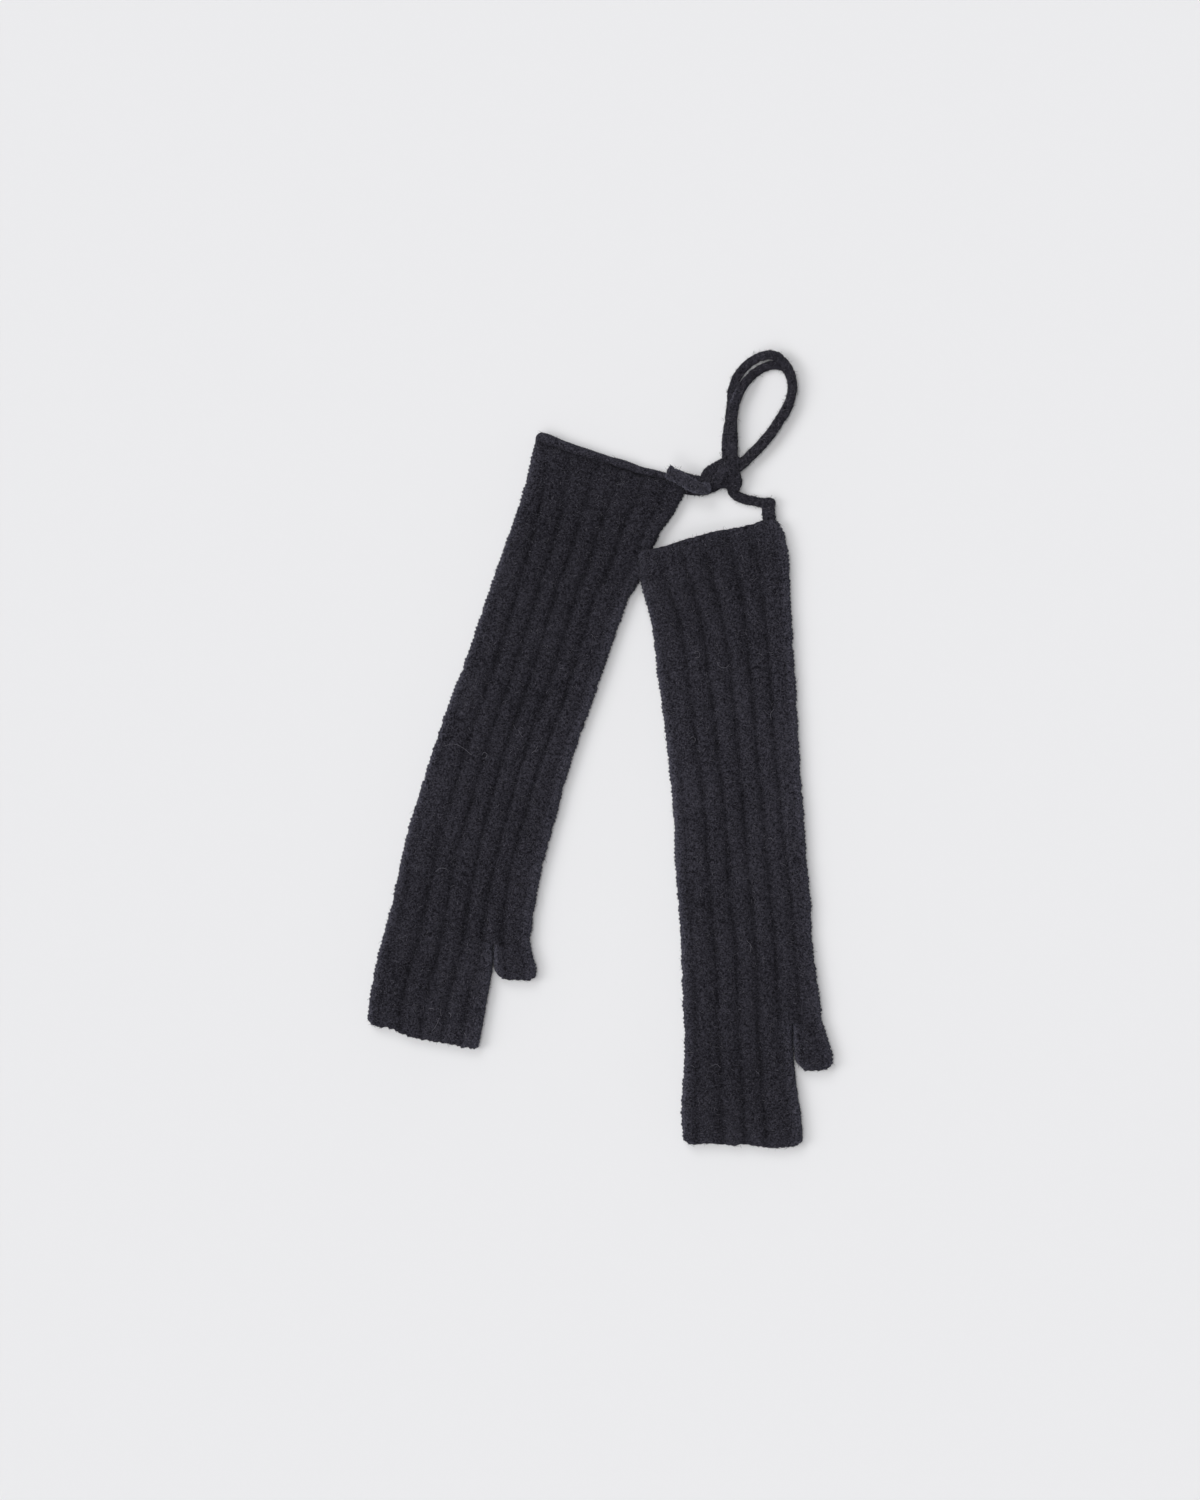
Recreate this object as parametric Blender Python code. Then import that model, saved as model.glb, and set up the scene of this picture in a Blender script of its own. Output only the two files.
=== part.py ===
# A pair of long ribbed wool mittens with open fingers and thumbs, lying flat and tied together by
# their knit straps. Metres, +Z up. +Y points to the arm openings and +X to the right mitten. The
# origin is on the surface that the pair lies on, at the middle of the two mittens.
from collections import namedtuple
from math import copysign, cos, pi, sin

import bmesh
import bpy
from mathutils import Vector

MM = 0.001

# Cloth: two layers of ribbed knit that lie on each other, joined along both sides.
BACK_WALL = 3.0 * MM
LAYER_GAP = 1.0 * MM
FRONT_WALL_AT_GROOVE = 2.6 * MM
RIB_HEIGHT = 1.5 * MM
SIDE_WALL = 3.0 * MM
SEAM_GAP = 0.3 * MM

# Ribs of the front, in shares of its width: the first groove, the pitch and how many lie whole.
FIRST_GROOVE = 0.075
RIB_PITCH = 0.1425
WHOLE_RIBS = 6
POINTS_PER_RIB = 4
CREST_ROUNDNESS = 0.7
SIDE_CREST = 0.55
CROTCH_GROOVE = 5
CROTCH_COLUMN = 2 + CROTCH_GROOVE * POINTS_PER_RIB
BACK_SHARES = (0.0, 0.06, 0.13, 0.21, 0.33, 0.48, 0.64, 0.7875, 0.9, 1.0)
CROTCH_BACK_SHARE = 7
SIDE_ANGLES = (-pi / 4, 0.0, pi / 4)

# Rows of points down each stretch, and how many of them lead the crotch groove to the crotch.
ARM_ROWS = 19
HAND_ROWS = 6
THUMB_ROWS = 4
FLARE_ROWS = 4

# Steps on a smooth curve between two of its given points, before the points are spaced evenly.
FINE_STEPS = 20

# Sections in millimetres: where each one meets the left and right edge of the flat mitten.
Section = namedtuple("Section", "left_x left_y right_x right_y")

LEFT_ARM = (
    Section(-48.5, 260.0, 65.5, 227.5),
    Section(-57.0, 221.0, 46.0, 190.0),
    Section(-70.0, 185.0, 28.5, 153.5),
    Section(-84.5, 143.0, 12.5, 112.0),
    Section(-99.5, 98.0, -3.0, 67.0),
    Section(-116.5, 53.0, -19.5, 20.5),
    Section(-131.5, 8.0, -32.0, -22.0),
    Section(-145.0, -37.0, -42.5, -64.0),
    Section(-154.5, -82.0, -50.0, -108.0),
    Section(-158.0, -95.0, -49.5, -122.0),
)
LEFT_HAND = (
    Section(-158.0, -95.0, -79.0, -114.5),
    Section(-162.5, -112.0, -80.5, -132.0),
    Section(-168.0, -134.5, -82.5, -155.0),
    Section(-172.0, -157.0, -86.0, -176.5),
    Section(-174.0, -173.5, -89.5, -193.0),
)
LEFT_THUMB = (
    Section(-79.0, -114.5, -49.5, -122.0),
    Section(-77.0, -128.5, -47.0, -133.0),
    Section(-75.5, -140.5, -47.5, -142.5),
)
RIGHT_ARM = (
    Section(29.5, 180.0, 134.0, 204.0),
    Section(31.0, 155.0, 144.0, 176.0),
    Section(38.5, 128.0, 143.5, 144.5),
    Section(43.0, 94.0, 145.5, 104.0),
    Section(47.5, 60.5, 148.0, 66.5),
    Section(52.0, 23.0, 150.0, 26.0),
    Section(55.5, -14.5, 153.0, -13.0),
    Section(57.0, -52.0, 155.5, -52.0),
    Section(59.5, -86.0, 158.5, -86.0),
    Section(61.5, -120.0, 160.5, -120.0),
    Section(63.5, -173.5, 168.0, -173.5),
)
RIGHT_HAND = (
    Section(63.5, -173.5, 145.0, -173.5),
    Section(64.0, -194.5, 145.5, -194.5),
    Section(62.5, -221.0, 148.0, -221.0),
    Section(61.5, -245.5, 151.5, -245.5),
    Section(63.5, -266.5, 153.0, -266.5),
)
RIGHT_THUMB = (
    Section(145.0, -173.5, 168.0, -173.5),
    Section(147.0, -187.0, 172.0, -187.0),
    Section(148.5, -199.0, 174.0, -199.0),
    Section(150.5, -209.0, 172.5, -209.0),
)

# Rims: how far each row of an opening's edge reaches past the last section, and how far it rises,
# at the back layer and at the front layer, in millimetres.
Rim = namedtuple("Rim", "back_reach front_reach back_rise front_rise")

ROLLED_OUTSIDE = (
    Rim(6.0, 0.7, 0.0, -0.5),
    Rim(7.8, 1.1, 2.0, -1.3),
)
ROLLED_INSIDE = (
    Rim(1.8, 0.4, 2.8, 0.2),
    Rim(4.0, 0.7, 4.3, 0.2),
    Rim(6.4, 0.9, 3.3, 0.2),
    Rim(7.8, 1.1, 1.4, 0.2),
)

# The right mitten's upper corner lies on the left mitten's edge and eases down to the surface.
CORNER = Vector((33.0 * MM, 170.0 * MM))
CORNER_LIFT = 7.8 * MM
CORNER_FLAT_RADIUS = 21.0 * MM
CORNER_EASE = 52.0 * MM

# Knit straps, flat strips with rolled edges.
STRAP_WIDTH = 7.4 * MM
STRAP_THICKNESS = 4.2 * MM
TAIL_WIDTH = 9.4 * MM
TAIL_THICKNESS = 3.0 * MM
LOOP_STEP = 8.0 * MM
SHORT_STEP = 5.0 * MM
LOW = 2.4
HIGH = 7.0

# Routes in millimetres, from end to end.
LEFT_STRAP_ROUTE = (
    (65.6, 224.8, 2.6),
    (70.5, 223.5, 2.6),
    (75.5, 223.6, 2.6),
    (79.0, 225.0, 2.7),
    (81.1, 226.4, 2.8),
)
TAIL_ROUTE = (
    (76.5, 228.7, 8.4),
    (73.0, 229.3, 8.9),
    (69.0, 230.5, 9.3),
    (64.0, 232.5, 9.5),
    (58.0, 235.0, 9.4),
    (52.0, 237.6, 9.4),
)
RIGHT_STRAP_ROUTE = (
    (127.6, 204.0, 3.2),
    (127.6, 209.4, 2.8),
    (125.6, 214.6, 2.6),
    (121.4, 216.4, 2.6),
    (115.6, 217.0, 2.6),
    (110.2, 218.6, 2.6),
    (105.6, 221.8, 2.7),
    (101.8, 226.8, 2.9),
)
OUTER_LOOP_ROUTE = (
    (95.8, 246.6, LOW),
    (95.8, 262.0, LOW),
    (97.2, 277.0, LOW),
    (99.2, 290.0, LOW),
    (101.2, 301.0, LOW),
    (104.4, 310.5, LOW),
    (109.8, 318.2, LOW),
    (117.5, 323.8, LOW + 0.8),
    (126.6, 326.2, HIGH - 0.6),
    (135.4, 323.0, HIGH),
    (141.8, 315.6, HIGH),
    (145.2, 306.0, HIGH),
    (145.2, 296.0, HIGH),
    (142.2, 286.5, HIGH),
    (136.2, 277.0, HIGH),
    (128.2, 267.2, HIGH),
    (119.8, 258.4, HIGH),
    (113.6, 252.0, HIGH),
    (109.4, 247.8, HIGH),
)
INNER_LOOP_ROUTE = (
    (100.6, 246.4, HIGH),
    (100.6, 262.0, HIGH),
    (100.6, 277.0, HIGH),
    (102.0, 289.0, HIGH),
    (105.4, 298.6, HIGH),
    (110.2, 306.6, HIGH - 0.5),
    (117.2, 314.2, LOW),
    (126.0, 318.6, LOW),
    (134.4, 317.2, LOW),
    (140.6, 311.4, LOW),
    (144.0, 303.6, LOW),
    (144.2, 295.6, LOW),
    (141.2, 286.8, LOW),
    (135.0, 277.4, LOW),
    (127.0, 267.8, LOW),
    (118.6, 259.0, LOW),
    (111.2, 251.2, LOW),
    (106.4, 246.4, LOW),
)

# Knot: a lump of wrapped strap, longer along the line between the two mittens.
KNOT_CENTRE = Vector((92.0 * MM, 235.8 * MM, 5.6 * MM))
KNOT_RADII = Vector((15.2 * MM, 11.0 * MM, 5.3 * MM))
KNOT_FULLNESS = 0.6
KNOT_TURNS = 2.0
KNOT_SLANT = 0.6
KNOT_GROOVE = 0.09
KNOT_AROUND = 28
KNOT_RINGS = 14

Skin = namedtuple("Skin", "inset low groove crest corner")

BACK_TO_GROOVE = BACK_WALL + LAYER_GAP + FRONT_WALL_AT_GROOVE
OUTSIDE = Skin(0.0, 0.0, BACK_TO_GROOVE, BACK_TO_GROOVE + RIB_HEIGHT, 4.0 * MM)
INSIDE = Skin(SIDE_WALL, BACK_WALL, BACK_WALL + LAYER_GAP, BACK_WALL + LAYER_GAP, LAYER_GAP / 2)

Mitten = namedtuple("Mitten", "name arm hand thumb rim_outside rim_inside")


def clear_scene():
    for obj in list(bpy.data.objects):
        bpy.data.objects.remove(obj, do_unlink=True)


def make_material(name, colour, roughness):
    material = bpy.data.materials.new(name)
    material.use_nodes = True
    shader = material.node_tree.nodes["Principled BSDF"]
    shader.inputs["Base Color"].default_value = (*colour, 1.0)
    shader.inputs["Roughness"].default_value = roughness
    shader.inputs["Metallic"].default_value = 0.0
    return material


def add_mesh(name, mesh_builder, material):
    mesh = bpy.data.meshes.new(name)
    bmesh.ops.recalc_face_normals(mesh_builder, faces=mesh_builder.faces)
    mesh_builder.to_mesh(mesh)
    mesh_builder.free()
    mesh.shade_smooth()
    mesh.materials.append(material)
    obj = bpy.data.objects.new(name, mesh)
    bpy.context.scene.collection.objects.link(obj)
    return obj


def smooth_between(before, start, end, after, t):
    """A point on the smooth curve from start to end, with its neighbours on each side."""
    return (
        start * 2
        + (end - before) * t
        + (before * 2 - start * 5 + end * 4 - after) * t**2
        + (start * 3 - before - end * 3 + after) * t**3
    ) / 2


def smooth_through(points, count):
    """Points spaced evenly along a smooth curve through the given ones."""
    padded = [points[0] * 2 - points[1], *points, points[-1] * 2 - points[-2]]
    fine = []
    for i in range(len(points) - 1):
        steps = [step / FINE_STEPS for step in range(FINE_STEPS)]
        fine += [smooth_between(*padded[i : i + 4], t) for t in steps]
    fine.append(points[-1])
    along = [0.0]
    for i in range(1, len(fine)):
        along.append(along[-1] + (fine[i] - fine[i - 1]).length)
    spaced = []
    i = 0
    for step in range(count):
        wanted = along[-1] * step / (count - 1)
        while i < len(fine) - 2 and along[i + 1] < wanted:
            i += 1
        share = (wanted - along[i]) / (along[i + 1] - along[i])
        spaced.append(fine[i].lerp(fine[i + 1], min(max(share, 0.0), 1.0)))
    return spaced


def section_rows(sections, count):
    """Pairs of edge points, left and right, spaced evenly down the sections."""
    both = [Vector((s.left_x, s.left_y, s.right_x, s.right_y)) * MM for s in sections]
    rows = smooth_through(both, count)
    return [(Vector((r[0], r[1], 0.0)), Vector((r[2], r[3], 0.0))) for r in rows]


def front_columns():
    """Shares across the front and how far each point is up its rib, from 0 to 1."""
    columns = [(0.0, SIDE_CREST), (FIRST_GROOVE / 2, SIDE_CREST)]
    for rib in range(WHOLE_RIBS):
        for step in range(POINTS_PER_RIB):
            t = step / POINTS_PER_RIB
            columns.append((FIRST_GROOVE + (rib + t) * RIB_PITCH, sin(pi * t) ** CREST_ROUNDNESS))
    last_groove = FIRST_GROOVE + WHOLE_RIBS * RIB_PITCH
    columns.append((last_groove, 0.0))
    columns += [((1 + last_groove) / 2, SIDE_CREST), (1.0, SIDE_CREST)]
    return columns


def rescale(shares, start, end):
    return [(share - start) / (end - start) for share in shares]


def moved_share(share, old, new):
    """The share after the one at old has moved to new, with 0 and 1 kept."""
    if share <= old:
        return share * new / old
    return 1 - (1 - share) * (1 - new) / (1 - old)


def flared_columns(columns, mitten, skin, row_index):
    """The arm's columns, with the crotch groove led towards the crotch over the last rows."""
    front, back = columns["arm"]
    crotch_share = front[CROTCH_COLUMN][0]
    ends = section_rows((mitten.arm[-1], mitten.hand[0]), 2)
    inset = skin.inset + skin.corner
    span = (ends[0][1] - ends[0][0]).length - 2 * inset
    crotch_goal = ((ends[1][1] - ends[1][0]).length - inset) / span
    t = max(0.0, (row_index - (ARM_ROWS - 1 - FLARE_ROWS)) / FLARE_ROWS)
    here = crotch_share + (crotch_goal - crotch_share) * t * t * (3 - 2 * t)
    moved_front = [(moved_share(share, crotch_share, here), crest) for share, crest in front]
    return moved_front, [moved_share(share, crotch_share, here) for share in back]


def column_sets():
    """Front columns and back shares of the whole arm, of the hand and of the thumb."""
    front = front_columns()
    crotch_share = front[CROTCH_COLUMN][0]
    sets = {"arm": (front, list(BACK_SHARES))}
    parts = {
        "hand": (front[: CROTCH_COLUMN + 1], BACK_SHARES[: CROTCH_BACK_SHARE + 1], 0.0, crotch_share),
        "thumb": (front[CROTCH_COLUMN:], BACK_SHARES[CROTCH_BACK_SHARE:], crotch_share, 1.0),
    }
    for part, (columns, back, start, end) in parts.items():
        shares = rescale([share for share, _ in columns], start, end)
        crests = [crest for _, crest in columns]
        sets[part] = (list(zip(shares, crests)), rescale(back, start, end))
    return sets


def direction_across(row):
    return (row[1] - row[0]).normalized()


def direction_up_arm(row):
    across = direction_across(row)
    return Vector((-across.y, across.x, 0.0))


def shifted(row, left_by, right_by, up_arm_by):
    """The row with its ends moved along it and all of it moved towards the arm opening."""
    across = direction_across(row)
    up_arm = direction_up_arm(row) * up_arm_by
    return (row[0] + across * left_by + up_arm, row[1] + across * right_by + up_arm)


def ring_points(row, columns, back, skin, rim=Rim(0.0, 0.0, 0.0, 0.0)):
    """One closed loop round the flat tube: left side up, front, right side down, then the back."""
    across = direction_across(row)
    up_arm = direction_up_arm(row)
    width = (row[1] - row[0]).length
    start = skin.inset + skin.corner
    span = width - 2 * start
    side_top = skin.groove + columns[0][1] * (skin.crest - skin.groove)
    right_top = skin.groove + columns[-1][1] * (skin.crest - skin.groove)

    def place(u, z, height):
        reach = rim.back_reach + (rim.front_reach - rim.back_reach) * height
        rise = rim.back_rise + (rim.front_rise - rim.back_rise) * height
        spot = row[0] + across * u + up_arm * reach * MM
        spot.z = z + rise * MM
        return spot

    def side_point(angle, edge_u, outwards, top):
        height = (1 + sin(angle)) / 2
        u = edge_u + outwards * skin.corner * cos(angle)
        return place(u, skin.low + (top - skin.low) * height, height)

    points = [side_point(angle, start, -1, side_top) for angle in SIDE_ANGLES]
    for share, crest in columns:
        points.append(place(start + share * span, skin.groove + crest * (skin.crest - skin.groove), 1))
    points += [side_point(a, start + span, 1, right_top) for a in reversed(SIDE_ANGLES)]
    points += [place(start + share * span, skin.low, 0) for share in reversed(back)]
    return points


def add_ring(bm, points):
    return [bm.verts.new(point) for point in points]


def join_rings(bm, first, second):
    for i in range(len(first)):
        j = (i + 1) % len(first)
        bm.faces.new((first[i], first[j], second[j], second[i]))


def join_run(bm, rings):
    for i in range(len(rings) - 1):
        join_rings(bm, rings[i], rings[i + 1])


def split_at_crotch(bm, ring, columns):
    """Divides the arm's last ring into a hand ring and a thumb ring that share a short upright."""
    sides = len(SIDE_ANGLES)
    front_total = len(columns["arm"][0])
    front_crotch = sides + len(columns["hand"][0]) - 1
    back_crotch = 2 * sides + front_total + len(columns["thumb"][1]) - 1
    top = ring[front_crotch]
    low = ring[back_crotch]
    upright = [bm.verts.new(top.co.lerp(low.co, (step + 1) / (sides + 1))) for step in range(sides)]
    hand = ring[: front_crotch + 1] + upright + ring[back_crotch:]
    thumb = upright[::-1] + ring[front_crotch : back_crotch + 1]
    return hand, thumb


def body_skin(bm, mitten, columns, skin, rims, crotch_back):
    """One skin of the arm and hand tube. Returns its open loops at the arm, fingers and thumb."""
    arm_rows = section_rows(mitten.arm, ARM_ROWS)
    arm_rows[-1] = shifted(arm_rows[-1], 0.0, 0.0, crotch_back)
    hand_rows = section_rows(mitten.hand, HAND_ROWS)
    thumb_row = section_rows(mitten.thumb, THUMB_ROWS)[0]
    arm_points = [ring_points(arm_rows[0], *columns["arm"], skin, rim) for rim in reversed(rims)]
    for i, row in enumerate(arm_rows):
        arm_points.append(ring_points(row, *flared_columns(columns, mitten, skin, i), skin))
    arm = [add_ring(bm, points) for points in arm_points]
    hand_root, thumb_root = split_at_crotch(bm, arm[-1], columns)
    first_hand_row = 0 if crotch_back else 1
    hand = [hand_root]
    hand += [add_ring(bm, ring_points(r, *columns["hand"], skin)) for r in hand_rows[first_hand_row:]]
    thumb = [thumb_root]
    if crotch_back:
        thumb.append(add_ring(bm, ring_points(thumb_row, *columns["thumb"], skin)))
    for run in (arm, hand, thumb):
        join_run(bm, run)
    return arm[0], hand[-1], thumb[-1]


def make_body(mitten, columns):
    bm = bmesh.new()
    outside = body_skin(bm, mitten, columns, OUTSIDE, mitten.rim_outside, 0.0)
    inside = body_skin(bm, mitten, columns, INSIDE, mitten.rim_inside, SIDE_WALL)
    for outer_loop, inner_loop in zip(outside, inside):
        join_rings(bm, outer_loop, inner_loop)
    return bm


def make_thumb(mitten, columns):
    bm = bmesh.new()
    rows = section_rows(mitten.thumb, THUMB_ROWS)
    rows[0] = shifted(rows[0], 2 * SEAM_GAP, 0.0, -SEAM_GAP)
    outside = [add_ring(bm, ring_points(row, *columns["thumb"], OUTSIDE)) for row in rows]
    inside = [add_ring(bm, ring_points(row, *columns["thumb"], INSIDE)) for row in rows]
    join_run(bm, outside)
    join_run(bm, inside)
    join_rings(bm, outside[0], inside[0])
    join_rings(bm, outside[-1], inside[-1])
    return bm


def lift_corner(bm):
    """Raises the cloth round the corner that lies on the other mitten."""
    for vert in bm.verts:
        away = (vert.co.xy - CORNER).length - CORNER_FLAT_RADIUS
        share = min(max(away / CORNER_EASE, 0.0), 1.0)
        vert.co.z += CORNER_LIFT * (1 - share * share * (3 - 2 * share))


def add_strap(name, route, width, thickness, step, material):
    """A flat strip with round edges along a smooth route."""
    points = [Vector(point) * MM for point in route]
    length = sum((points[i + 1] - points[i]).length for i in range(len(points) - 1))
    spots = smooth_through(points, max(round(length / step) + 1, 3))
    curve = bpy.data.curves.new(name, "CURVE")
    curve.dimensions = "3D"
    curve.twist_mode = "Z_UP"
    curve.bevel_depth = thickness / 2
    curve.extrude = (width - thickness) / 2
    curve.bevel_resolution = 2
    curve.use_fill_caps = True
    spline = curve.splines.new("POLY")
    spline.points.add(len(spots) - 1)
    for point, spot in zip(spline.points, spots):
        point.co = (*spot, 1.0)
        point.tilt = pi / 2
    curve.materials.append(material)
    obj = bpy.data.objects.new(name, curve)
    bpy.context.scene.collection.objects.link(obj)
    return obj


def make_knot():
    """A rounded lump with the slanting grooves between its wrapped turns."""
    bm = bmesh.new()
    bmesh.ops.create_uvsphere(bm, u_segments=KNOT_AROUND, v_segments=KNOT_RINGS, radius=1.0)
    for vert in bm.verts:
        spot = vert.co.copy()
        turn = pi * KNOT_TURNS * (spot.x + KNOT_SLANT * spot.y)
        spot.z = copysign(abs(spot.z) ** KNOT_FULLNESS, spot.z)
        groove = KNOT_GROOVE * (1 - abs(cos(turn / 2)))
        vert.co = KNOT_CENTRE + Vector(s * r for s, r in zip(spot * (1 - groove), KNOT_RADII))
    return bm


LEFT_MITTEN = Mitten("left_mitten", LEFT_ARM, LEFT_HAND, LEFT_THUMB, ROLLED_OUTSIDE, ROLLED_INSIDE)
RIGHT_MITTEN = Mitten("right_mitten", RIGHT_ARM, RIGHT_HAND, RIGHT_THUMB, (), ())


def build():
    clear_scene()
    columns = column_sets()
    wool = make_material("charcoal_rib_wool", (0.024, 0.023, 0.028), 0.95)
    strap_wool = make_material("charcoal_strap_wool", (0.026, 0.025, 0.031), 0.95)
    for mitten in (LEFT_MITTEN, RIGHT_MITTEN):
        body = make_body(mitten, columns)
        if mitten is RIGHT_MITTEN:
            lift_corner(body)
        add_mesh(mitten.name, body, wool)
        add_mesh(mitten.name + "_thumb", make_thumb(mitten, columns), wool)
    straps = (
        ("left_strap", LEFT_STRAP_ROUTE, STRAP_WIDTH, STRAP_THICKNESS, SHORT_STEP),
        ("right_strap", RIGHT_STRAP_ROUTE, STRAP_WIDTH, STRAP_THICKNESS, SHORT_STEP),
        ("loop_outer_strand", OUTER_LOOP_ROUTE, STRAP_WIDTH, STRAP_THICKNESS, LOOP_STEP),
        ("loop_inner_strand", INNER_LOOP_ROUTE, STRAP_WIDTH, STRAP_THICKNESS, LOOP_STEP),
        ("strap_tail", TAIL_ROUTE, TAIL_WIDTH, TAIL_THICKNESS, SHORT_STEP),
    )
    for name, route, width, thickness, step in straps:
        add_strap(name, route, width, thickness, step, strap_wool)
    add_mesh("strap_knot", make_knot(), strap_wool)


build()
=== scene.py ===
import math
from types import SimpleNamespace

import bmesh
import bpy
import numpy as np
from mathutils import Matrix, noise


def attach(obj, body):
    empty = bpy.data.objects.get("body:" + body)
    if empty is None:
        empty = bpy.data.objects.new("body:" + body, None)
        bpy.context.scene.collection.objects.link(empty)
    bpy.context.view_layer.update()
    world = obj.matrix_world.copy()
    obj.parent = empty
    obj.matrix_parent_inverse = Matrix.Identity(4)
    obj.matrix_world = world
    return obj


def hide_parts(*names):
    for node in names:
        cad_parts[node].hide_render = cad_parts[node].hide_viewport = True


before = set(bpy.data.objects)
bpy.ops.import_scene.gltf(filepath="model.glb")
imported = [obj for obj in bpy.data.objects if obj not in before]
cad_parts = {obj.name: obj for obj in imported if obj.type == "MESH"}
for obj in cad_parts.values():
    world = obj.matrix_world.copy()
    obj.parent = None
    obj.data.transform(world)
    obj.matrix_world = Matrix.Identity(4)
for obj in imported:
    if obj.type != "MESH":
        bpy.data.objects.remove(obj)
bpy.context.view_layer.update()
mm = 0.001

# The camera looks straight down on a pale floor in soft light.
viewSetup = {
    "centreX": 0.75 * mm,  # middle of the picture on the floor
    "centreY": 30.4 * mm,
    "pictureHeight": 1.125,
    "lens": 85.0,
    "filmHeight": 36.0,
    "nearest": 0.05,
    "farthest": 60.0,
}
lightSetup = {
    "skyStrength": 0.11,
    "wallStrength": 0.80,  # a pale band round the horizon, as a studio's walls
    "wallHeight": (0.16, 0.30),  # sine of the height where it starts and ends to fade
    "floorColour": (0.80, 0.80, 0.815),
    "floorRoughness": 0.9,
    "floorShine": 0.1,
    "floorSize": 40.0,
    "floorDrop": 0.1 * mm,
}
# Each soft light: strength, degrees across, degrees from straight down, degrees round from +X.
softLights = {
    "softOverhead": (1.12, 30.0, 4.0, 145.0),
    "softUpper": (0.82, 32.0, 46.0, 120.0),
    "softLeft": (1.20, 30.0, 52.5, 180.0),
    "softLower": (0.54, 32.0, 43.0, 237.0),
}


def link(tree, start, end):
    tree.links.new(start, end)


def setInputs(node, values):
    for name, value in values.items():
        node.inputs[name].default_value = value


def addObject(name, data):
    obj = bpy.data.objects.new(name, data)
    bpy.context.scene.collection.objects.link(obj)
    return obj


def newMaterial(name):
    material = bpy.data.materials.new(name)
    material.use_nodes = True
    tree = material.node_tree
    return material, tree, tree.nodes["Principled BSDF"]


def setCamera(setup):
    camera = bpy.data.cameras.new("photoCamera")
    camera.lens = setup["lens"]
    camera.sensor_fit = "VERTICAL"
    camera.sensor_height = setup["filmHeight"]
    camera.clip_start = setup["nearest"]
    camera.clip_end = setup["farthest"]
    obj = addObject("photoCamera", camera)
    away = setup["pictureHeight"] * setup["lens"] / setup["filmHeight"]
    obj.location = (setup["centreX"], setup["centreY"], away)
    bpy.context.scene.camera = obj


def setLight(setup):
    scene = bpy.context.scene
    scene.view_settings.view_transform = "Standard"
    scene.world = bpy.data.worlds.new("paleStudio")
    scene.world.use_nodes = True
    tree = scene.world.node_tree
    background = tree.nodes["Background"]
    direction = tree.nodes.new("ShaderNodeSeparateXYZ")
    fade = tree.nodes.new("ShaderNodeMapRange")
    setInputs(background, {"Color": (1.0, 1.0, 1.0, 1.0)})
    setInputs(fade, dict(zip(("From Min", "From Max"), setup["wallHeight"])))
    setInputs(fade, {"To Min": setup["wallStrength"], "To Max": setup["skyStrength"]})
    link(tree, tree.nodes.new("ShaderNodeTexCoord").outputs["Generated"], direction.inputs[0])
    link(tree, direction.outputs["Z"], fade.inputs["Value"])
    link(tree, fade.outputs["Result"], background.inputs["Strength"])
    for name, (strength, across, tilt, turn) in softLights.items():
        light = bpy.data.lights.new(name, "SUN")
        light.energy = strength
        light.angle = math.radians(across)
        addObject(name, light).rotation_euler = (0.0, math.radians(tilt), math.radians(turn))


def setFloor(setup):
    bm = bmesh.new()
    bmesh.ops.create_grid(bm, x_segments=1, y_segments=1, size=setup["floorSize"] / 2)
    mesh = bpy.data.meshes.new("paleFloor")
    bm.to_mesh(mesh)
    bm.free()
    material, _, shader = newMaterial("palePaper")
    setInputs(shader, {
        "Base Color": (*setup["floorColour"], 1.0),
        "Roughness": setup["floorRoughness"],
        "Specular IOR Level": setup["floorShine"],
    })
    mesh.materials.append(material)
    floor = addObject("paleFloor", mesh)
    floor.location.z = -setup["floorDrop"]


print("camera, light and floor")
setCamera(viewSetup)
setLight(lightSetup)
setFloor(lightSetup)


def distances(points):
    steps = np.linalg.norm(np.diff(points, axis=0), axis=1)
    return np.concatenate([[0.0], np.cumsum(steps)])


def smoothCurve(points, spacing, steps=24):
    # evenly spaced points on a smooth curve through the given ones
    points = np.array(points, float)
    padded = np.vstack([2 * points[:1] - points[1:2], points, 2 * points[-1:] - points[-2:-1]])
    t = np.linspace(0.0, 1.0, steps, endpoint=False)[:, None]
    runs = []
    for a, b, c, d in zip(padded, padded[1:], padded[2:], padded[3:]):
        quad = (2 * a - 5 * b + 4 * c - d) * t**2
        cube = (3 * b - a - 3 * c + d) * t**3
        runs.append((2 * b + (c - a) * t + quad + cube) / 2)
    fine = np.vstack([*runs, points[-1:]])
    along = distances(fine)
    count = max(round(along[-1] / spacing), 2) + 1
    wanted = np.linspace(0.0, along[-1], count)
    return np.stack([np.interp(wanted, along, column) for column in fine.T], axis=1)


def smoothStep(t):
    t = np.clip(t, 0.0, 1.0)
    return t * t * (3 - 2 * t)


def unit(vectors):
    return vectors / np.maximum(np.linalg.norm(vectors, axis=-1, keepdims=True), 1e-9)


def unevenness(x, y, z, size, seed):
    # soft noise from -1 to 1 at the given places, its lumps about size wide
    seedStep = 31.7
    points = np.column_stack(np.broadcast_arrays(x, y, z)) / size + seedStep * seed
    return np.array([noise.noise(p) for p in points.tolist()])


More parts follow.
